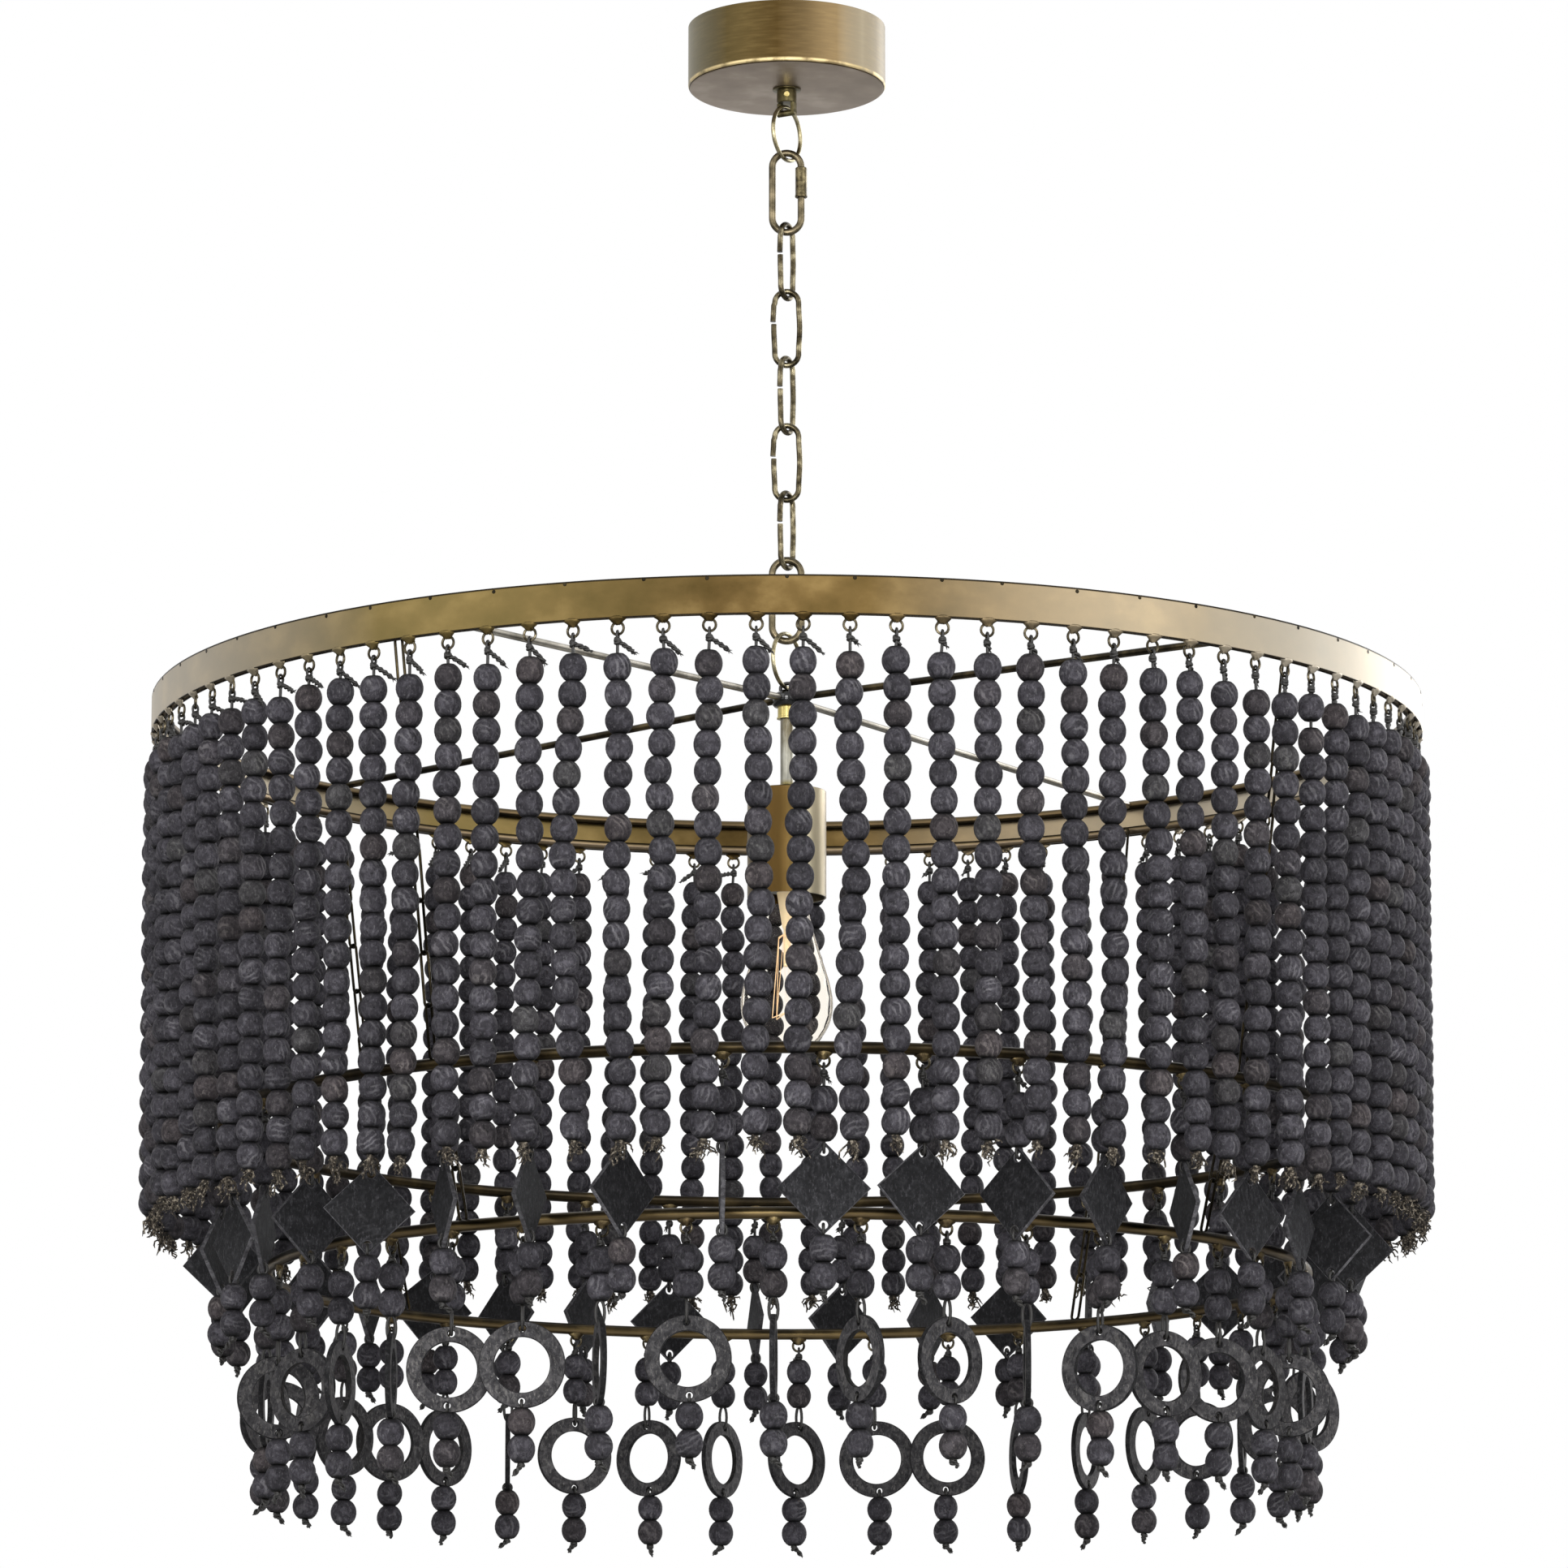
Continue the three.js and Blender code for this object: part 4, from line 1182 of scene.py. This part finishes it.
def eyelets(name, count, phase, radius, edge, drop, nodes, paint):
    """The eyelets of a ring, with lumps that weld them to a band or a rod."""
    ring = round_loop(eyeletRadius, eyeletRadius, eyeletWire / 2, eyeletSteps, eyeletSides)
    on_band = paint == "band_weld"
    rings, tabs = [], []
    for i in range(count):
        azimuth = phase + 2 * math.pi * i / count
        twist = turned_about((0, 0, 1), chance.normal(0, eyeletTwist))
        rings.append(at_azimuth(moved(ring, (0, -radius, edge - drop), twist), azimuth))
        if on_band:
            tab = moved(weld_tab(tabThickness, tabRise, tabShift), (0, -radius - tabShift, edge))
        else:
            tab = moved(weld_tab(rodTabThickness, rodTabRise, 0), (0, -radius, edge))
        tabs.append(at_azimuth(tab, azimuth))
    build(f"{name} eyelets", joined(rings), "eyelet_metal", "frame", nodes)
    build(f"{name} welds", joined(tabs), paint, "frame", nodes, 70)


# Beads, cords and knots

def bead_shape():
    flat_angle = math.acos(beadFlat / beadWidth)
    reach = beadHeight / 2 / math.sin(flat_angle)
    side = [
        (beadWidth / 2 * math.cos(angle), reach * math.sin(angle))
        for angle in np.linspace(-flat_angle, flat_angle, beadSteps)
    ]
    flat = beadFlat / 2 - beadRound
    half = beadHeight / 2 + beadRound / 4
    return lathe([(0, -half), (flat, -half), *side, (flat, half), (0, half)], beadSides)


bead = bead_shape()


def bead_shades(count):
    """Painted shade: 1 at the two ends of each bead, where it meets the next, 0 round its middle."""
    height = np.abs(bead[0][:, 2]) / (beadHeight / 2)
    return np.tile(np.clip((height - beadShadeStart) / (1 - beadShadeStart), 0, 1), count)


def beads_at(places):
    """Beads at the places, each a little tilted, wide or narrow."""
    turns = []
    for _ in places:
        spin = turned_about((0, 0, 1), chance.uniform(0, 2 * math.pi))
        tilt = turned_about((1, 0, 0), chance.normal(0, beadTilt))
        scale = 1 + float(np.clip(chance.normal(0, beadScale), *beadScaleLimits))
        turns.append(spin @ tilt @ np.diag([scale, scale, 1 - (scale - 1) / 2]))
    return copies(bead, turns, places)


def knot(at, heading):
    """Three crossed turns of cord round the strand."""
    ring = round_loop(knotRadius, knotRadius, knotWire, knotSteps, ropeSides)
    turns = []
    for tilt, lift in ((knotTilt, knotLift), (-knotTilt, -knotLift), (knotRoll, 0)):
        level = moved(ring, turn=turned_about((1, 0, 0), math.pi / 2 + tilt))
        turns.append(moved(at_azimuth(level, heading), np.array(at) + (0, 0, lift)))
    return joined(turns)


def hairs_from(start, direction, length):
    """Fine hairs from one point, spreading about a direction."""
    hairs = []
    for _ in range(hairCount):
        aim = np.array(direction) + chance.normal(0, hairSpread, 3)
        aim /= np.linalg.norm(aim)
        bend = chance.normal(0, hairSpread * length / 3, 3)
        reach = length * chance.uniform(*hairLengthShare)
        path = [start, start + aim * reach / 2, start + aim * reach + bend]
        hairs.append(tube(path, [hairRadius, hairRadius * hairThinning, hairTip], hairSides))
    return hairs


def tangle(start, count, length):
    """Curly fibres that wander down from one point, no wider than a bead."""
    fibres = []
    for _ in range(count):
        steps = chance.normal(0, tuftSpread, (tuftSteps, 3)) - (0, 0, tuftFall)
        offsets = np.vstack([np.zeros(3), np.cumsum(steps, axis=0)]) * length / tuftSteps
        offsets[:, :2] = np.clip(offsets[:, :2], -beadWidth / 2, beadWidth / 2)
        offsets[:, 2] = np.minimum(offsets[:, 2], knotRadius)
        fibres.append(tube(start + offsets, [tuftRadius] * tuftSteps + [tuftTip], hairSides))
    return fibres


def side_tail(at, heading, fall, length):
    """Two twisted cord ends that leave a knot sideways; returns them, their end and their direction."""
    level = math.cos(fall)
    forward = np.array((math.cos(heading) * level, math.sin(heading) * level, -math.sin(fall)))
    across = np.cross(forward, (0, 0, 1))
    across /= np.linalg.norm(across)
    above = np.cross(across, forward)
    ropes = []
    for side in (0, math.pi):
        path = []
        for share in np.linspace(0, 1, tailSteps):
            angle = 2 * math.pi * share * length / tailPitch + side
            sag = -tailSag * length * share * share
            offset = tailTwist * (math.cos(angle) * across + math.sin(angle) * above)
            path.append(np.array(at) + forward * length * share + offset + (0, 0, sag))
        ropes.append(tube(path, tailRadius, ropeSides))
    return ropes, np.array(at) + forward * length + (0, 0, -tailSag * length), forward


def top_knot(eye, azimuth, first_top, long):
    """The loop in an eyelet, its knot and tail, and the cord down to the first bead."""
    middle = eye - (0, 0, eyeletRadius + loopSink)
    loop = round_loop(loopHalfWidth, loopHalfHeight, cordRadius * loopThinning, loopSteps, ropeSides)
    cords = [moved(at_azimuth(loop, azimuth + math.pi / 2), middle)]
    tie = middle - (0, 0, knotDrop)
    cords.append(knot(tie, azimuth + chance.uniform(0, math.pi)))
    cords.append(tube([tie, first_top - (0, 0, cordSink)], cordRadius, ropeSides))
    heading = azimuth + chance.uniform(*tailTurn)
    fall = chance.uniform(*(longTailFall if long else shortTailFall))
    length, wander = (longTail, longTailWander) if long else (shortTail, shortTailWander)
    length += chance.uniform(-1, 1) * wander
    ropes, end, forward = side_tail(tie, heading, fall, length)
    return cords + ropes + hairs_from(end, forward, hairLength)


def frayed_end(at):
    """A knot under the last bead with a frayed tuft."""
    tie = np.array(at) - (0, 0, knotRadius)
    length = tuftLength + chance.uniform(-1, 1) * tuftWander
    return [knot(tie, chance.uniform(0, math.pi)), *tangle(tie, tuftHairs, length)]


def dark_end(at):
    """A knot under the last bead with two dark twisted ends."""
    tie = np.array(at) - (0, 0, darkKnotDrop)
    cords = [knot(tie, chance.uniform(0, math.pi))]
    length = darkTail * chance.uniform(*darkTailShare)
    heading = chance.uniform(0, 2 * math.pi)
    ropes, end, forward = side_tail(tie, heading, chance.uniform(*darkTailFall), length)
    return cords + ropes + hairs_from(end, forward, hairLength / 2)


def strand_spot(azimuth, radius, tangent, height):
    """A point at an azimuth, moved along the ring by a tangent length."""
    return np.array((
        radius * math.sin(azimuth) + tangent * math.cos(azimuth),
        -radius * math.cos(azimuth) + tangent * math.sin(azimuth),
        height,
    ))


def arc_numbers(count, arcs, arc_index):
    return range(round(arc_index * count / arcs), round((arc_index + 1) * count / arcs))


def long_strand(number):
    """Places of the beads of a long strand, its cords and its frayed hairs."""
    azimuth = tierOnePhase + 2 * math.pi * number / tierOneCount
    lean = chance.normal(0, strandLean)
    bow = chance.normal(0, strandBow)
    waves = chance.uniform(*strandWaves)
    phase = chance.uniform(0, 2 * math.pi)
    inward = abs(chance.normal(0, strandLean / 2))
    lift = float(np.clip(chance.normal(0, strandLift), -strandLiftLimit, strandLiftLimit / 2))
    places = []
    for i in range(tierOneBeads):
        share = i / (tierOneBeads - 1)
        tangent = lean * share + bow * (math.sin(2 * math.pi * waves * share + phase) - math.sin(phase))
        tangent += chance.normal(0, beadWander)
        radius = min(strandRadius - inward * share + chance.normal(0, beadWander / 2), strandOuter)
        height = tierOneTop + lift - i * beadPitch
        if number == raisedBead and i == 0:
            height += raisedBy
        places.append(strand_spot(azimuth, radius, tangent, height))
    eye = strand_spot(azimuth, strandRadius, 0, bandBottom - eyeletDrop)
    folded = (azimuth + math.pi) % (2 * math.pi) - math.pi
    cords = top_knot(eye, azimuth, places[0] + (0, 0, beadHeight / 2), folded < longTailAzimuth)
    if number == raisedBead:
        cords.append(tube([places[0], places[1]], cordRadius, ropeSides))
    return places, cords, frayed_end(places[-1] - (0, 0, beadHeight / 2))


def tier_one():
    for index in range(tierOneArcs):
        numbers = list(arc_numbers(tierOneCount, tierOneArcs, index))
        nodes = [f"strand_rail_{index + 1}"]
        half = len(numbers) // 2
        for part, some in (("a", numbers[:half]), ("b", numbers[half:])):
            places, cords, hairs = [], [], []
            for number in some:
                strand_places, strand_cords, strand_hairs = long_strand(number)
                places += strand_places
                cords += strand_cords
                hairs += strand_hairs
            label = f"{index + 1}{part}"
            shades = bead_shades(len(places))
            build(f"long strand beads {label}", beads_at(places), "bead", "frame", nodes, 60, shades)
            build(f"long strand cords {label}", joined(cords), "cord", "frame", nodes, 80)
            build(f"long strand frays {label}", joined(hairs), "pale_cord", "frame", nodes, 80)


# Plates and washers, flat in the XZ plane with their middle at the origin

def flat_piece(outline, holes, thickness, edge, name):
    """The two faces of a flat piece with holes, and apart from them its rounded edges."""
    curve = bpy.data.curves.new(name, "CURVE")
    curve.dimensions = "2D"
    curve.fill_mode = "BOTH"
    curve.extrude = (thickness / 2 - edge) * MILLIMETRE
    curve.bevel_depth = edge * MILLIMETRE
    curve.bevel_resolution = 2
    curve.offset = -edge * MILLIMETRE
    for points in [outline, *holes]:
        spline = curve.splines.new("POLY")
        spline.points.add(len(points) - 1)
        for point, (x, y) in zip(spline.points, points):
            point.co = (x * MILLIMETRE, y * MILLIMETRE, 0, 1)
        spline.use_cyclic_u = True
    holder = bpy.data.objects.new(name, curve)
    mesh = bpy.data.meshes.new_from_object(holder)
    bpy.data.objects.remove(holder)
    bpy.data.curves.remove(curve)
    mesh.calc_loop_triangles()
    points = np.zeros(len(mesh.vertices) * 3)
    mesh.vertices.foreach_get("co", points)
    corners = np.zeros(len(mesh.loop_triangles) * 3, int)
    mesh.loop_triangles.foreach_get("vertices", corners)
    bpy.data.meshes.remove(mesh)
    points = points.reshape(-1, 3) / MILLIMETRE
    corners = corners.reshape(-1, 3)
    level = np.abs(points[corners][:, :, 2]).min(axis=1) > thickness / 2 - edge / 10
    upright = turned_about((1, 0, 0), math.pi / 2)
    parts = (corners[level], corners[~level])
    return [moved(shape_of(points, corners=some), turn=upright) for some in parts]


def round_outline(diameter, steps, height=0):
    """Points of a circle whose middle is at a height above the piece's own."""
    angles = 2 * np.pi * np.arange(steps) / steps
    return [(diameter / 2 * math.cos(angle), height + diameter / 2 * math.sin(angle)) for angle in angles]


def pair_of_holes(diameter, middle):
    return [round_outline(diameter, holeSteps, height) for height in (middle, -middle)]


def plate_shape():
    reach = plateDiagonal / 2
    holes = pair_of_holes(plateHoleDiameter, reach - plateHoleInset)
    outline = [(reach, 0), (0, reach), (-reach, 0), (0, -reach)]
    return flat_piece(outline, holes, plateThickness, pendantEdge, "plate")


def washer_shape():
    holes = pair_of_holes(washerHoleDiameter, washerDiameter / 2 - washerHoleInset)
    holes.append(round_outline(washerBore, washerSteps))
    outline = round_outline(washerDiameter, washerSteps)
    return flat_piece(outline, holes, washerThickness, pendantEdge, "washer")


def pendant_loop(low, high, yaw, at):
    """A loop of cord through a hole and round the edge, square to the pendant."""
    loop = round_loop(cordLoopWidth, (high - low) / 2, cordRadius, cordLoopSteps, ropeSides)
    return moved(loop, (at[0], at[1], (low + high) / 2), turned_about((0, 0, 1), yaw + math.pi / 2))


def short_strand(tier, number):
    """Places of a short strand's beads, its pendant, and its cords with their hairs."""
    azimuth = tier["phase"] + 2 * math.pi * number / tier["count"]
    yaw = math.radians(tier["yaws"][number])
    spot = strand_spot(azimuth, tier["radius"], chance.normal(0, pendantScatter), 0)
    places = [spot + (0, 0, tier["top"]), spot + (0, 0, tier["top"] - beadPitch)]
    half = tier["half"]
    pivot = half - tier["inset"]
    high_hole = tier["middle"] + pivot
    sway = float(np.clip(chance.normal(0, pendantSway), -swayLimit, swayLimit))
    turn = turned_about((0, 0, 1), yaw) @ turned_about((0, 1, 0), sway)
    pendant = [moved(moved(part, (0, 0, -pivot)), spot + (0, 0, high_hole), turn) for part in tier["shape"]]
    low_spot = spot + turn @ np.array((0, 0, -2 * pivot)) + (0, 0, high_hole)
    above = places[1][2] - beadHeight / 2
    below = tier["middle"] - half
    cords = [
        pendant_loop(high_hole - cordLoopOverlap, above + cordLoopOverlap, yaw, spot),
        pendant_loop(below - cordLoopOverlap, low_spot[2] + cordLoopOverlap, yaw, low_spot),
    ]
    first = below - beadHeight / 2
    for level in (first, first - beadPitch):
        places.append(np.array((low_spot[0], low_spot[1], level)))
    eye = spot + (0, 0, tier["height"] - ringRod / 2 - rodEyeletDrop)
    cords += top_knot(eye, azimuth, places[0] + (0, 0, beadHeight / 2), False)
    cords += dark_end(places[-1] - (0, 0, beadHeight / 2))
    return places, pendant, cords


def tier_of_pendants(tier):
    for index, node in enumerate(arc_nodes(tier["ring"], tier["arcs"])):
        places, faces, edges, cords = [], [], [], []
        for number in arc_numbers(tier["count"], tier["arcs"], index):
            strand_places, (face, edge), strand_cords = short_strand(tier, number)
            places += strand_places
            faces.append(face)
            edges.append(edge)
            cords += strand_cords
        label = f"{tier['ring']} {index + 1}"
        shades = bead_shades(len(places))
        build(f"short strand beads {label}", beads_at(places), "bead", "frame", [node], 60, shades)
        build(f"{tier['name']} {label}", joined(faces), tier["paints"][0], "frame", [node], 25)
        build(f"edges of {tier['name']} {label}", joined(edges), tier["paints"][1], "frame", [node], 40)
        build(f"short strand cords {label}", joined(cords), "cord", "frame", [node], 80)


tierTwo = {
    "ring": 2, "name": "plates", "radius": ringTwoRadius, "height": ringTwoHeight, "count": tierTwoCount,
    "phase": tierTwoPhase, "arcs": tierTwoArcs, "top": tierTwoTop, "yaws": plateYaws,
    "half": plateDiagonal / 2, "inset": plateHoleInset, "middle": plateMiddle, "shape": plate_shape(),
    "paints": ("slate", "slate_lit_edge"),
}
tierThree = {
    "ring": 3, "name": "washers", "radius": ringThreeRadius, "height": ringThreeHeight,
    "count": tierThreeCount, "phase": tierThreePhase, "arcs": tierThreeArcs, "top": tierThreeTop,
    "yaws": washerYaws, "half": washerDiameter / 2, "inset": washerHoleInset, "middle": washerMiddle,
    "shape": washer_shape(), "paints": ("washer", "washer_shaded_edge"),
}

canopy()
collar()
round_ring("upper_ring")
quick_link("upper_quick_link", "upper_sleeve_nut", "upper_nut")
for link_number in range(1, linkCount + 1):
    chain_link(link_number)
quick_link("lower_quick_link", "lower_sleeve_nut", "lower_nut")
round_ring("lower_ring")
hub_and_stem()
bulb()
band()
band_notches()
lower_rings()
hangers()
eyelets("band", tierOneCount, tierOnePhase, strandRadius, bandBottom, eyeletDrop, rail_nodes(), "band_weld")
for tier in (tierTwo, tierThree):
    eyelets(
        f"ring {tier['ring']}", tier["count"], tier["phase"], tier["radius"], tier["height"] - ringRod / 2,
        rodEyeletDrop, arc_nodes(tier["ring"], tier["arcs"]), "rod_weld",
    )
tier_one()
tier_of_pendants(tierTwo)
tier_of_pendants(tierThree)

# CAD nodes that stay as they are
for node, paint in (("ceiling_crossbar", "zinc"), ("lampholder", "phenolic"), ("bulb_cap", "zinc")):
    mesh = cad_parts[node].data
    mesh.materials.clear()
    mesh.materials.append(paints[paint].material)


# Room, light and camera

def area_light(name, place, size, power):
    light = bpy.data.lights.new(name, "AREA")
    light.size = size
    light.energy = power
    obj = placed(name, light)
    obj.location = place
    obj.rotation_euler = (Vector(lightAim) - Vector(place)).to_track_quat("-Z", "Y").to_euler()


def room():
    half = floorSize / 2
    ends = ((-half, -half), (half, -half), (half, half), (-half, half))
    mesh = bpy.data.meshes.new("floor")
    mesh.from_pydata([(x, y, floorHeight) for x, y in ends], [], [(0, 1, 2, 3)])
    paint = Paint("floor")
    paint.set(Roughness=0.8)
    paint.colour(paint.ramp(paint.noise(3), [(0.3, 0xeeeeee), (0.7, 0xf4f4f4)]))
    mesh.materials.append(paint.material)
    placed("floor", mesh)
    world = bpy.data.worlds.new("room")
    bpy.context.scene.world = world
    world.use_nodes = True
    tree = world.node_tree
    background = tree.nodes["Background"]
    background.inputs["Color"].default_value = (1, 1, 1, 1)
    path = tree.nodes.new("ShaderNodeLightPath")
    seen = path.outputs["Is Camera Ray"]
    for kind in ("Is Glossy Ray", "Is Transmission Ray"):
        either = tree.nodes.new("ShaderNodeMath")
        either.operation = "MAXIMUM"
        tree.links.new(seen, either.inputs[0])
        tree.links.new(path.outputs[kind], either.inputs[1])
        seen = either.outputs[0]
    strength = tree.nodes.new("ShaderNodeMapRange")
    strength.inputs["To Min"].default_value = worldGlow
    tree.links.new(seen, strength.inputs["Value"])
    tree.links.new(strength.outputs["Result"], background.inputs["Strength"])


room()
for light_values in lights:
    area_light(*light_values)

camera_data = bpy.data.cameras.new("camera")
camera_data.lens = cameraLens
camera_data.sensor_width = cameraSensor
camera_data.clip_end = floorSize * 2
camera = placed("camera", camera_data)
camera.location = cameraPlace
camera.rotation_euler = (math.pi / 2 + cameraTilt, 0, 0)
bpy.context.scene.camera = camera
bpy.context.scene.view_settings.view_transform = "Standard"
